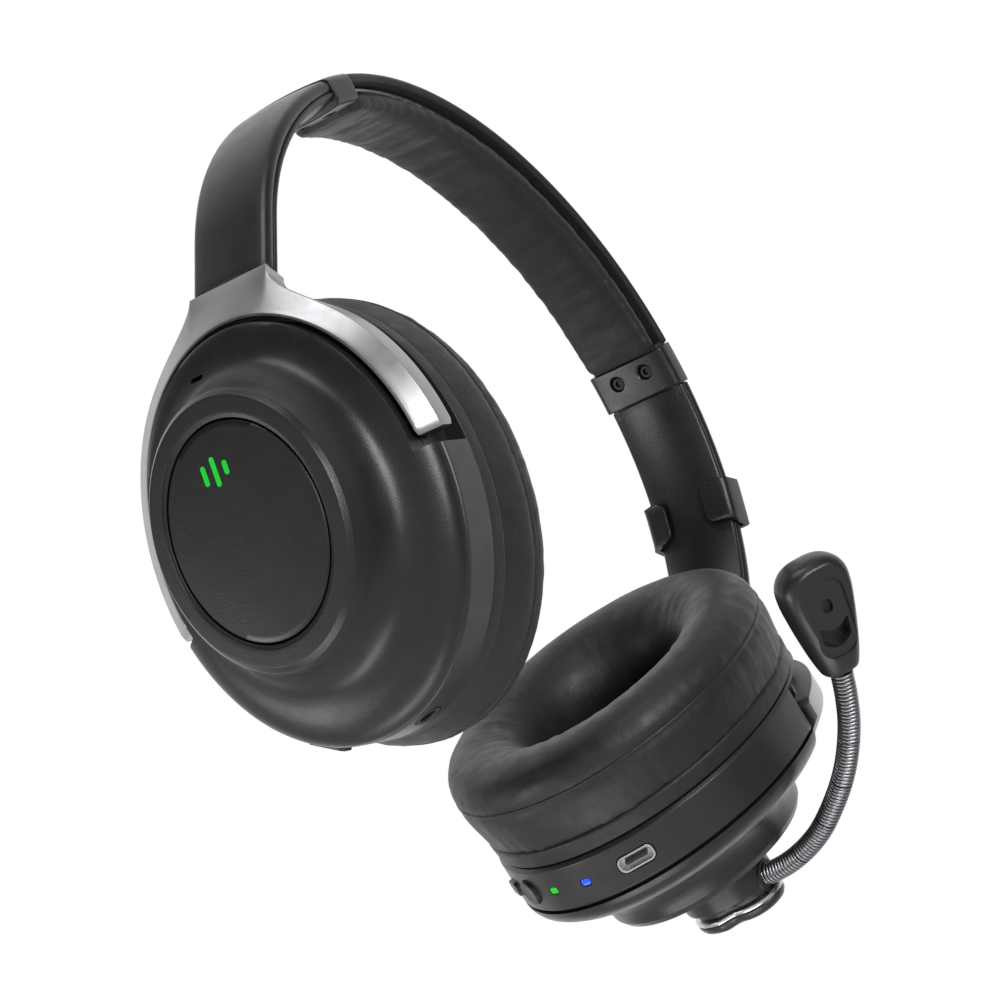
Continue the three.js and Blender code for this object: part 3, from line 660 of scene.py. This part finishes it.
def cup_rings(side, profile, count=180, stepped=False):
    """Rings round the cup, each the profile of (radius, h) at one angle."""
    angles = [360 * i / count for i in range(count)]
    if stepped:
        for edge in (RECESS_FROM, RECESS_TO):
            angles += [edge - 0.06, edge + 0.06]
        angles.sort()
    rings = []
    for angle in angles:
        wall = recess_radius(angle) if stepped and RECESS_FROM < angle < RECESS_TO else 1e9
        ring = []
        for radius, h in profile:
            r = min(radius, wall) if h > RECESS_FLOOR else radius
            ring.append(oval_point(side, OVAL * r, r, angle, h))
        rings.append(ring)
    return rings


def dense(profile, step=0.5):
    """The closed profile with more points along its long sides."""
    made = []
    for i, p in enumerate(profile):
        q = profile[(i + 1) % len(profile)]
        pieces = max(1, int(math.dist(p, q) / step))
        run, rise = q[0] - p[0], q[1] - p[1]
        made += [(p[0] + run * k / pieces, p[1] + rise * k / pieces) for k in range(pieces)]
    return made


COVER_TOP = [
    (23.2, 20.9, 0), (23.25, 21.5, 0.2), (24.1, 21.6, 0.1), (24.2, 21.95, 0.15), (27.9, 21.75, 0.25),
    (29.1, 20.3, 0.8), (29.6, 18, 0),
]
COVER_WALL = [
    (29.6, 18), (30.4, 14.6), (31.9, 11), (34.0, 8.2), (37.2, 6.4), (41.2, 5), (44.2, 3.3), (45.7, 1.5),
    (46.2, -0.1),
]
COVER_INSIDE = [
    (44.6, -0.2), (40.6, -0.2), (36.5, 3), (31.6, 5.4), (28.2, 12), (26, 17.6), (22.6, 18.6), (23.2, 19.6),
]
DOME_FOOT, DOME_SHOULDER, DOME_DROP = 5.9, 18.3, 6


def lowered(profile, side):
    """The left cup's dome stands lower, to leave room for the boom's hub."""
    if side < 0:
        return profile
    scale = 1 - DOME_DROP / (DOME_SHOULDER - DOME_FOOT)
    made = []
    for radius, h in profile:
        high = h - DOME_DROP if h > DOME_SHOULDER else DOME_FOOT + (h - DOME_FOOT) * scale
        made.append((radius, high if h > DOME_FOOT else h))
    return made


def panel_height(radius):
    """The panel is a shallow dome."""
    return 22.3 - 0.7 * (radius / 22) ** 2


def rim_place(side, angle):
    """Something set in the rim: Y out of the rim, Z out of the ear, X along the rim."""
    normal = Vector((side * math.sin(angle * DEG) / (RIM * OVAL), 0, -math.cos(angle * DEG) / RIM))
    normal = normal.normalized()
    out = Vector((0, 1, 0))
    point = oval_point(side, RIM * OVAL, RIM, angle, RIM_MIDDLE)
    return Matrix.Translation(point) @ axes(normal.cross(out), normal, out)


def button_profile(height, edge=0.3):
    rounded = [(0, height - edge), (edge * 0.3, height - edge * 0.3), (edge, height)]
    return [(0, -2.4), *rounded, (edge * 3, height - 0.08)]


USB_PROFILE = [(0, -2.5), (0, 0.1), (0.12, 0.25), (0.5, 0.25), (0.62, 0.1), (0.62, -1.9)]
JACK_PROFILE = [(0, -2.5), (0, 0.1), (0.12, 0.25), (0.8, 0.25), (1.05, 0), (1.1, -2.2)]
LIGHT, LIGHT_PROFILE = rounded_box(1.15, 0.75, 0.5), button_profile(0.15, 0.15)
LONG_BUTTON = rounded_box(4.4, 2.1, 1.3)
POCKET_GAP, POCKET_DEPTH = 0.22, 3.8
USB_ANGLE = 15
# Name, angle round the rim, outline, profile, look, slot, body.
RIM_PIECES = {
    "left": [
        ("usb_port", USB_ANGLE, rounded_box(4.3, 1.9, 1.6), USB_PROFILE, "steel", "steel", "cup_left"),
        ("status_light_blue", -5, LIGHT, LIGHT_PROFILE, "blue", "light_blue", "cup_left"),
        ("status_light_green", -20, LIGHT, LIGHT_PROFILE, "green", "light_green", "cup_left"),
        ("power_button", -33.5, circle(2.9), button_profile(1.0), "button", "black_part", "power_button"),
        ("pairing_button", -46, rounded_box(2.6, 1.7, 1), button_profile(1.0), "button", "black_part",
         "pairing_button"),
    ],
    "right": [
        ("audio_jack", 13, circle(2.9), JACK_PROFILE, "black", "steel", "cup_right"),
        ("noise_button", -25, LONG_BUTTON, button_profile(1.2), "button", "black_part", "noise_button"),
        ("volume_button", -50, LONG_BUTTON, button_profile(1.2), "button", "black_part", "volume_button"),
    ],
}


def make_rim_pieces(side, label, place, body_piece):
    for name, angle, outline, profile, look, slot, body in RIM_PIECES[label]:
        spot = place @ rim_place(side, angle)
        carve(body_piece, plug(outline, [(-POCKET_GAP, -POCKET_DEPTH), (-POCKET_GAP, 4)]), spot)
        add(f"{name}_cap", plug(outline, profile), look, body, [name], spot)
    if label == "left":
        tongue = plug(rounded_box(2.6, 0.42, 0.2, 3), [(0, -1.95), (0, -0.35), (0.1, -0.25)])
        spot = place @ rim_place(side, USB_ANGLE)
        add("usb_tongue", tongue, "black", "cup_left", [], spot)


def make_cup(side, label):
    place = cup_place(side)
    body = f"cup_{label}"
    outside = [*fillet(COVER_TOP, closed=False), *spline(COVER_WALL, 5)[1:]]
    profile = lowered(dense([*outside, *COVER_INSIDE], 0.7), side)
    shape = loft(cup_rings(side, profile, stepped=True), cyclic=True)
    cover = new_piece(f"{label}_cover", shape, "shell", place)
    if side < 0:
        slit = plug(rounded_box(1.7, 0.5, 0.45), [(0, -3), (0, 6)])
        carve(cover, slit, place @ Matrix.Translation((7.6, 4.6, 35)))
    smooth(cover.data, 30)
    settle(cover, body, [f"cup_cover_{label}"])

    top = [(22.5, 20), (22.75, 20.4), (22.75, panel_height(22.4) - 0.2), (22.45, panel_height(22.4))]
    top += [(22.3 - 0.9 * k, panel_height(22.3 - 0.9 * k)) for k in range(1, 24)]
    shape = loft([[oval_point(side, OVAL * r, r, 360 * i / 160, h) for i in range(160)]
                  for r, h in lowered(top, side)])
    add(f"{label}_panel", shape, "panel", body, [f"cup_panel_{label}"], place)

    rim = fillet([
        (45.5, -0.5, 0.3), (46.2, -1.1, 0.4), (46.2, -10.7, 0.5), (45.3, -11.4, 0.4), (37, -11.4, 0),
        (37, -9.6, 0), (39.2, -9.6, 0), (39.2, -0.5, 0),
    ])
    shape = loft(cup_rings(side, dense(rim, 0.8), stepped=True), cyclic=True)
    ring = new_piece(f"{label}_rim", shape, "rim", place)
    make_rim_pieces(side, label, place, ring)
    settle(ring, body, [f"cup_body_{label}"])

    plate = fillet([(44, -11.75, 0.2), (44, -13.2, 0.2), (30, -13.2, 0.2), (30, -11.75, 0.2)])
    add(f"{label}_clip_ring", loft(cup_rings(side, plate, 120), cyclic=True), "black", body,
        [f"cushion_plate_{label}"], place)
    make_ear_screen(side, label, place, body)


SCREEN_RADIUS = 28.5
SCREEN_H, SCREEN_DISH = -12.5, 0.5


def make_ear_screen(side, label, place, body):
    """Acoustic cloth stretched over the driver, inside the cushion."""
    rings, segments = 14, 72
    points = [(0, SCREEN_H, 0)]
    for i in range(1, rings + 1):
        r = SCREEN_RADIUS * i / rings
        h = SCREEN_H + SCREEN_DISH * (i / rings) ** 2
        points += [oval_point(side, OVAL * r, r, 360 * k / segments, h) for k in range(segments)]
    faces = [(0, 1 + k, 1 + (k + 1) % segments) for k in range(segments)]
    for i in range(rings - 1):
        a, b = 1 + i * segments, 1 + (i + 1) * segments
        faces += [(a + k, b + k, b + (k + 1) % segments, a + (k + 1) % segments) for k in range(segments)]
    piece = new_piece(f"{label}_ear_screen", (points, faces), "cloth", place)
    settle(piece, body)


# ---- cushions
CLOTH_FRAMES = 20


def inflate(piece, pinned, voxel, pressure, cap):
    """Fills a closed form with air as cloth, holding the pinned part and capping how far a point moves."""
    modify(piece, "REMESH", mode="VOXEL", voxel_size=voxel * MM)
    rest = np.array([v.co for v in piece.data.vertices], float)
    group = piece.vertex_groups.new(name="held")
    for i, point in enumerate(rest):
        if pinned(Vector(point) / MM):
            group.add([i], 1, "REPLACE")
    cloth = piece.modifiers.new("cloth", "CLOTH")
    put(cloth.settings, quality=6, mass=0.2, tension_stiffness=12, compression_stiffness=12,
        bending_stiffness=0.3, use_pressure=True, uniform_pressure_force=pressure,
        vertex_group_mass="held")
    cloth.settings.effector_weights.gravity = 0
    cloth.collision_settings.use_collision = False
    put(cloth.point_cache, frame_start=1, frame_end=CLOTH_FRAMES)
    for frame_number in range(1, CLOTH_FRAMES + 1):
        bpy.context.scene.frame_set(frame_number)
    baked(piece)
    piece.vertex_groups.clear()
    moved = np.array([v.co for v in piece.data.vertices], float)
    shift = moved - rest
    # No point moves farther than the cap.
    length = np.linalg.norm(shift, axis=1, keepdims=True)
    shift *= np.minimum(1, cap * MM / np.maximum(length, 1e-9))
    piece.data.vertices.foreach_set("co", (rest + shift).ravel())
    bpy.context.scene.frame_set(1)
    return modify(piece, "SUBSURF", levels=1)


CUSHION = [
    (43.6, -13.5), (45.6, -15.2), (46.1, -17.6), (46.8, -20.5), (47.4, -24), (47.3, -28), (46.1, -31.2),
    (43.4, -33.5), (38.6, -34.7), (32.4, -34.2), (26.8, -31.6), (23.4, -27), (22.8, -20), (25.4, -13.5),
]
CUSHION_FOOT = -13.4
CUSHION_LEAN = 0.09
PIPING_H = -26.6
PIPING_RADIUS = 47.8


def cushion_section():
    return spline(CUSHION, 3) + [(35, CUSHION_FOOT - 0.1)]


def leaned(point):
    """The cushion's face leans down a little, away from its plate."""
    x, h, z = point
    return Vector((x, h, z - CUSHION_LEAN * max(0, CUSHION_FOOT - h)))


def seam_radii(side, mesh, count):
    """How far out the simulated cushion stands along its seam, all round."""
    points = np.array([v.co for v in mesh.vertices], float) / MM
    radius = np.hypot(points[:, 0] / OVAL, points[:, 2])
    near = (np.abs(points[:, 1] - PIPING_H) < 1.2) & (radius > 40)
    around = np.arctan2(side * points[near, 0] / OVAL, -points[near, 2])
    order = np.argsort(around)
    at = 2 * math.pi * np.arange(count) / count
    found = np.interp(at, around[order], radius[near][order], period=2 * math.pi)
    spread = np.hanning(9)
    return np.convolve(np.concatenate([found[-4:], found, found[:4]]), spread / spread.sum(), "valid")


def push_out(mesh, depth_at):
    """Moves each point along its normal by depth_at(point), in millimetres."""
    points = np.array([v.co for v in mesh.vertices], float) / MM
    normals = np.array([v.normal for v in mesh.vertices], float)
    moved = [point + normal * depth_at(point) for point, normal in zip(points, normals)]
    mesh.vertices.foreach_set("co", (np.array(moved) * MM).ravel())
    mesh.update()


def into_place(piece, place):
    """Moves a mesh, made in metres in the cup's frame, to its place in the part."""
    piece.data.transform(Matrix.Translation(place.translation * MM) @ place.to_3x3().to_4x4())


def hump(value, middle, spread):
    return math.exp(-(((value - middle) / spread) ** 2))


SEAM_PRESS, SEAM_SPREAD = 0.5, 1.2  # depth and breadth of the groove along the seam
FOLDS, FINE_FOLDS = 11, 30  # folds round the cushion


def crease(side, mesh):
    """Presses in the seam, and draws small folds out of the two seams and round the inner lip."""
    def depth_at(point):
        x, h, z = point
        r = math.hypot(x / OVAL, z)
        around = math.atan2(side * x / OVAL, -z)
        c, s = math.cos(around), math.sin(around)
        seam = math.hypot(r - PIPING_RADIUS, h - PIPING_H)
        folds = noise.noise(Vector((c * FOLDS, s * FOLDS, h * 0.09 + side * 3)))
        fine = noise.noise(Vector((c * FINE_FOLDS, s * FINE_FOLDS, h * 0.12 + side * 5)))
        lower = hump(h, -15.5, 3.2) if r > 36 else 0
        upper = hump(seam, 2.6, 2.4) if r > 36 else 0
        inner = hump(r, 29, 4) if h < -20 else 0
        depth = -SEAM_PRESS * hump(seam, 0, SEAM_SPREAD)
        depth += (folds * (0.2 * lower + 0.12 * upper + 0.16 * inner)
                  + fine * (0.2 * lower + 0.16 * upper + 0.22 * inner))
        return depth + 0.1 * noise.noise(Vector(point) * 0.12)

    push_out(mesh, depth_at)


PINNED_H = -15.4  # the cushion is held by its plate outward of this
PIPING_CORD, PIPING_SUNK = 0.45, 0.42
SKIRT = [(44.2, -11.75, 0.3), (45.7, -11.75, 0.6), (46.15, -15.6, 0.9), (43.8, -16.4, 0.4)]


def make_cushion(side, label):
    rings = cup_rings(side, cushion_section(), 120)
    piece = new_piece(f"{label}_cushion", loft(rings, cyclic=True), "leather")
    inflate(piece, lambda p: p.y > PINNED_H, voxel=2.2, pressure=4, cap=1.1)
    radii = seam_radii(side, piece.data, 240)
    crease(side, piece.data)
    for vertex in piece.data.vertices:
        vertex.co = leaned(vertex.co / MM) * MM
    place = cup_place(side)
    into_place(piece, place)
    smooth(piece.data, 180)
    settle(piece, f"cup_{label}", [f"ear_cushion_{label}"])

    def round_cup(name, rings, look):
        add(f"{label}_{name}", loft(rings, cyclic=True), look, f"cup_{label}", [], place)

    cord = circle(PIPING_CORD, 12)(0)
    rings = []
    for i, radius in enumerate(radii):
        ring = [(radius - PIPING_SUNK + a, PIPING_H + b) for a, b in cord]
        angle = 360 * i / len(radii)
        rings.append([leaned(oval_point(side, OVAL * r, r, angle, h)) for r, h in ring])
    round_cup("piping", rings, "piping")
    rings = [[leaned(p) for p in ring] for ring in cup_rings(side, fillet(SKIRT), 160)]
    round_cup("cushion_skirt", rings, "leather")


def make_band_pad():
    along = stations(-PAD_END, PAD_END, 1.2, 60)
    shape = strip(slab(BAND_WIDTH - 1.4, PAD_TOP, PAD_BOTTOM - 1.0, 1.8), along)
    piece = new_piece("head_pad", shape, "leather")

    def held(p):
        angle = math.atan2(p.x / (BAND_HALF_SPAN - 6), (p.z - SPRING_LINE_Z) / (BAND_RISE - 6))
        outer = math.hypot(p.x / BAND_HALF_SPAN, (p.z - SPRING_LINE_Z) / BAND_RISE)
        near_end = abs(angle) / DEG > PAD_END - 1.2
        return near_end or outer > 1 - 5.4 / BAND_RISE

    inflate(piece, held, voxel=1.6, pressure=4, cap=0.9)
    wrinkle_pad(piece.data)
    smooth(piece.data, 180)
    settle(piece, "headband", ["band_pad"])


def wrinkle_pad(mesh):
    """Small cross folds on the underside of the pad, where the bend squeezes it."""
    def depth_at(point):
        x, y, z = point
        angle = math.atan2(x / BAND_HALF_SPAN, (z - SPRING_LINE_Z) / BAND_RISE)
        fold = noise.noise(Vector((angle * 16, y * 0.05, 4)))
        fine = noise.noise(Vector((angle * 46, y * 0.11, 9)))
        edge = 0.4 + 0.6 * min(1, abs(y) / 8)
        return fold * 0.1 + fine * 0.12 * edge

    push_out(mesh, depth_at)


# ---- boom microphone
def boom_place():
    return cup_place(1) @ Matrix.Rotation(BOOM_DROOP * DEG, 4, "Y")


def neck_line(count=500):
    """Points evenly along the gooseneck's middle line: a centripetal Catmull-Rom curve through its route."""
    held = [Vector((x, h, 0)) for x, h in NECK_ROUTE]
    held = [held[0] * 2 - held[1], *held, held[-1] * 2 - held[-2]]
    line = []
    for i in range(1, len(held) - 2):
        p = held[i - 1 : i + 3]
        knots = [0.0]
        for a, b in zip(p, p[1:]):
            knots.append(knots[-1] + (b - a).length ** 0.5)
        for k in range(40):
            t = knots[1] + (knots[2] - knots[1]) * k / 40
            line.append(barry(p, knots, t))
    line.append(held[-2])
    lengths = np.cumsum([0] + [(b - a).length for a, b in zip(line, line[1:])])
    at = np.linspace(0, lengths[-1], count)
    columns = [np.interp(at, lengths, [p[axis] for p in line]) for axis in range(3)]
    return [Vector(p) for p in zip(*columns)], float(lengths[-1])


def barry(p, knots, t):
    """Point of a Catmull-Rom stretch at knot value t, by repeated interpolation."""
    def mix(a, b, low, high):
        return a * ((high - t) / (high - low)) + b * ((t - low) / (high - low))
    first = [mix(p[i], p[i + 1], knots[i], knots[i + 1]) for i in range(3)]
    second = [mix(first[i], first[i + 1], knots[i], knots[i + 2]) for i in range(2)]
    return mix(second[0], second[1], knots[1], knots[2])


RIB_PITCH = 0.86
RIB_DEPTH = 0.4


def neck_stretch(line, length, low, high, sides=24):
    """The ribbed sleeve between two shares of the gooseneck's length."""
    def point(share):
        at = min(max(share, 0), 1) * (len(line) - 1)
        i = min(int(at), len(line) - 2)
        return line[i].lerp(line[i + 1], at - i)
    per_rib = 8
    step = RIB_PITCH / length / per_rib
    first, last = math.ceil(low / step), math.floor(high / step)
    rings = []
    for n in range(first, last + 1):
        share = n * step
        middle = point(share)
        ahead = (point(share + 0.004) - point(share - 0.004)).normalized()
        across = Vector((-ahead.y, ahead.x, 0))
        radius = NECK_RADIUS - RIB_DEPTH * (0.5 - 0.5 * math.cos(2 * math.pi * n / per_rib)) ** 2.2
        turns = [2 * math.pi * k / sides for k in range(sides)]
        rings.append([middle + radius * (across * math.cos(t) + Vector((0, 0, math.sin(t)))) for t in turns])
    return loft(rings)


def paint_groove_shade(mesh, line, place):
    """Paints shade into the bottoms of the sleeve's grooves: the faces there get the black material."""
    mesh.materials.append(LOOK["black"])
    back = place.inverted()
    middle = np.array([tuple(p) for p in line])
    for face in mesh.polygons:
        centre = np.array(back @ (face.center / MM))
        if np.min(np.linalg.norm(middle - centre, axis=1)) < NECK_RADIUS - 0.5 * RIB_DEPTH - 0.06:
            face.material_index = 1


def make_gooseneck(place):
    line, length = neck_line()
    share = (1 - NECK_START) / NECK_SEGMENTS
    joints = [NECK_START + share * i for i in range(1, NECK_SEGMENTS)]
    middles = [0.0] + [NECK_START + share * (i + 0.5) for i in range(1, NECK_SEGMENTS - 1)] + [1.03]
    for i, joint in enumerate(joints):
        shape = neck_stretch(line, length, middles[i], middles[i + 1])
        piece = new_piece(f"neck_sleeve_{i + 1}", shape, "sleeve", place)
        smooth(piece.data, 60)
        # Painted shade: the groove bottoms get the black material.
        paint_groove_shade(piece.data, line, place)
        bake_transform(piece)
        nodes = [f"gooseneck_{i + 1}"] + ([f"gooseneck_{NECK_SEGMENTS}"] if i == len(joints) - 1 else [])
        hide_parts(*nodes)
    return line


# The boom's stack on the cup: piece, outline, (inset, h) profile, look, slot, node that it stands for.
BOOM_STACK = [
    ("boom_boss", circle(10.8, 96), [(0, 15.5), (0, 24.4), (0.25, 25.1), (0.9, 25.5), (3, 25.6)],
     "boom", "satin_plastic", "boom_hub"),
    ("boom_housing", waisted(8.4, 1, 4, 6.9, 0.3),
     [(0.9, 21), (0.2, 21.5), (0, 22.2), (0, 26.3), (0.15, 27), (0.5, 27.4)],
     "boom", "satin_plastic", "boom_base"),
    ("boom_bright_line", waisted(9.0, 1.5, 4.5, 7.3, 0.7),
     [(0.35, 27.42), (0.05, 27.65), (0, 28), (0.1, 28.4), (0.35, 28.55)],
     "steel", "dark_chrome", "boom_trim"),
    ("boom_lid", waisted(8.9, 1.5, 4.3, 7.2, 0.8),
     [(0.2, 28.57), (0, 28.9), (0.15, 29.7), (0.7, 30.5), (1.7, 31), (4, 31.1)],
     "boom", "satin_plastic", "boom_cap"),
]
SOCKET_PROFILE = [(0.3, -1), (0, 1), (0, 6.2), (0.2, 6.9), (0.7, 7.2), (1.2, 7.0), (1.35, 6.2), (1.4, 3)]


def make_boom():
    place = boom_place()
    for name, outline, profile, look, slot, node_name in BOOM_STACK:
        add(name, plug(outline, profile), look, "boom", [node_name], place)

    line = make_gooseneck(place)
    ahead = (line[12] - line[4]).normalized()
    across = Vector((-ahead.y, ahead.x, 0))
    socket = place @ Matrix.Translation(line[0]) @ axes(across, ahead, ahead.cross(across) * -1)
    add("neck_socket", plug(circle(4.1, 48), SOCKET_PROFILE), "black", "boom", [], socket)
    make_capsule(place, line)


CAPSULE_SHAPE = [
    # distance along, half width, half depth
    (0.5, 3.4, 3.0), (1.2, 4.1, 3.7), (5, 5.3, 4.6), (10, 6.5, 5.2), (15, 7.5, 5.6), (19, 8.1, 5.75),
    (22.3, 8.0, 5.6), (24.8, 6.8, 4.8), (26.3, 4.6, 3.4), (26.9, 2.0, 1.6),
]
CAPSULE_FACE = 4.4
CAPSULE_POWER = 2 / 2.7  # how boxy the section is: 1 is an ellipse
CAPSULE_ALONG, CAPSULE_FACING = Vector((0.237, -0.971, 0)), Vector((0.76, 0.31, -0.62))
CAPSULE_SEAM = 0.05  # half of the gap between the two shells
# Hollows in the capsule's face: outline, distance along, height of the floor.
CAPSULE_HOLLOWS = [
    (rounded_box(4.7, 8.8, 3.6, 10), 13.8, 3.9),
    (rounded_box(1.25, 1.5, 0.9), 16.6, 1.4),
]
CRESCENT = [
    (-3.7, 12.8, 0.3), (-3.5, 8.6, 1.8), (0, 6.6, 3), (3.5, 8.6, 1.8), (3.7, 12.8, 0.3), (1.9, 11.5, 2),
    (0, 11, 2), (-1.9, 11.5, 2),
]


def capsule_place(place, line):
    along, face = CAPSULE_ALONG.normalized(), CAPSULE_FACING
    face = (face - along * face.dot(along)).normalized()
    return place @ Matrix.Translation(line[-1]) @ axes(along.cross(face), along, face)


def capsule_rings(count=72):
    rings = []
    for along, wide, deep in spline(CAPSULE_SHAPE, 6):
        ring = []
        for k in range(count):
            t = 2 * math.pi * k / count
            c, s = math.cos(t), math.sin(t)
            x = wide * math.copysign(abs(c) ** CAPSULE_POWER, c)
            z = deep * math.copysign(abs(s) ** CAPSULE_POWER, s)
            ring.append((x, along, min(z, CAPSULE_FACE + 0.12 * (z - CAPSULE_FACE))))
        rings.append(ring)
    return rings


def make_capsule(place, line):
    spot = capsule_place(place, line)
    turn = Matrix.Rotation(90 * DEG, 4, "X")
    box = plug(rounded_box(30, 40, 0.1, 1), [(0, 0), (0, 20)])
    shells = []
    for name, cut_from in (("mic_shell_front", CAPSULE_SEAM - 20), ("mic_shell_back", -CAPSULE_SEAM)):
        piece = new_piece(f"{name}_skin", loft(capsule_rings()), "boom")
        carve(piece, box, Matrix.Translation((0, 0, cut_from)) @ turn)
        shells.append((name, piece))
    front = shells[0][1]
    for outline, along, floor in CAPSULE_HOLLOWS:
        carve(front, plug(outline, [(0, 0), (0, 8)]), Matrix.Translation((0, along, floor)) @ turn)
    carve(front, loft([[(x, y, z) for x, y in fillet(CRESCENT)] for z in (1.2, 9)]))
    for name, piece in shells:
        into_place(piece, spot)
        smooth(piece.data, 34)
        settle(piece, f"neck_{NECK_SEGMENTS}", [name])


# ---- small marks and inner parts
def make_mark():
    """Three short sound bars printed on the right panel, in a material that glows as painted light."""
    place = cup_place(-1)
    for i, tall in enumerate((3.0, 6.2, 4.2)):
        outline = rounded_box(0.55, tall / 2, 0.5)(0)
        spots = [(2 + (i - 1) * 2.6 + x, 13.5 + z) for x, z in outline]
        heights = [panel_height(math.hypot(x / OVAL, z)) for x, z in spots]
        layers = [[(x, h + lift, z) for (x, z), h in zip(spots, heights)] for lift in (-0.1, 0.09)]
        # The bars take the glowing material: a painted glow on the print.
        add(f"mark_bar_{i + 1}", loft(layers), "print_painted_glow", "cup_right", [], place)


CAD_LOOKS = {
    "band_spring": "steel", "circuit_board": "circuit", "battery": "foil", "mic_element": "black",
    **{f"{part}_{label}": "black" for part in ("baffle", "speaker_driver") for _, label in SIDES},
    **{f"slider_{label}": "steel" for _, label in SIDES},
    **{f"pivot_pin_{label}_{end}": "steel" for _, label in SIDES for end in ("front", "rear")},
}


def dress_cad_nodes():
    for name, look in CAD_LOOKS.items():
        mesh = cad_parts[name].data
        mesh.materials.clear()
        mesh.materials.append(LOOK[look])


# ---- studio
FLOOR_Z = -1.6
FLOOR_HALF = 8


def make_studio():
    made, tree, shader = new_material("floor_paper")
    colour = shaded(tree, (0.82, 0.82, 0.82), noise_value(tree, 2), 0.02)
    feed(tree, shader, {"Base Color": colour, "Roughness": 0.9})
    mesh = bpy.data.meshes.new("floor")
    corners = [(x * FLOOR_HALF, y * FLOOR_HALF, FLOOR_Z) for x, y in ((-1, -1), (1, -1), (1, 1), (-1, 1))]
    mesh.from_pydata(corners, [], [(0, 1, 2, 3)])
    mesh.materials.append(made)
    new_object("floor", mesh)

    world = bpy.data.worlds.new("studio")
    bpy.context.scene.world = world
    world.use_nodes = True
    tree = world.node_tree
    tree.nodes.clear()
    right, up, back = view_axes()
    toward = node(tree, "ShaderNodeTexCoord").outputs["Generated"]
    facing = node(tree, "ShaderNodeVectorMath", {0: toward, 1: tuple(-back)}, operation="DOT_PRODUCT")
    inputs = {"Value": facing.outputs["Value"], "From Min": -0.1, "From Max": 0.9,
              "To Min": 0.04, "To Max": 1.1}
    spread = node(tree, "ShaderNodeMapRange", inputs, interpolation_type="SMOOTHSTEP")
    seen = node(tree, "ShaderNodeBackground", {"Color": (1, 1, 1, 1), "Strength": 1.0})
    fill = node(tree, "ShaderNodeBackground", {"Color": (1, 1, 1, 1), "Strength": spread.outputs["Result"]})
    path = node(tree, "ShaderNodeLightPath")
    inputs = {0: path.outputs["Is Camera Ray"], 1: fill.outputs[0], 2: seen.outputs[0]}
    mixed = node(tree, "ShaderNodeMixShader", inputs)
    node(tree, "ShaderNodeOutputWorld", {"Surface": mixed.outputs[0]})

    for name, spot, size, power in LIGHTS:
        data = bpy.data.lights.new(name, "AREA")
        put(data, shape="RECTANGLE", size=size[0], size_y=size[1], energy=power)
        lamp = new_object(name, data)
        place = VIEW_AIM + right * spot[0] + up * spot[1] + back * spot[2]
        aim = (VIEW_AIM - place).to_track_quat("-Z", "Y")
        lamp.matrix_world = Matrix.Translation(place) @ aim.to_matrix().to_4x4()
        lamp.visible_camera = False
    bpy.context.scene.view_settings.view_transform = "Standard"


# Softboxes: name, place to the right of, above and in front of the headset, size, watts.
LIGHTS = [
    ("key_softbox", (0.44, 0.52, 0.74), (0.42, 0.5), 7),
    ("side_softbox", (-0.8, -0.55, 0.35), (0.45, 0.5), 3.4),
    ("low_softbox", (0.15, -0.85, 0.35), (0.8, 0.3), 3),
    ("top_softbox", (-0.3, 0.95, 0.25), (0.7, 0.3), 3),
]

make_camera()
make_studio()
make_headband()
make_band_pad()
for side, label in SIDES:
    make_yoke(side, label)
    make_cup(side, label)
    make_cushion(side, label)
make_boom()
make_mark()
dress_cad_nodes()
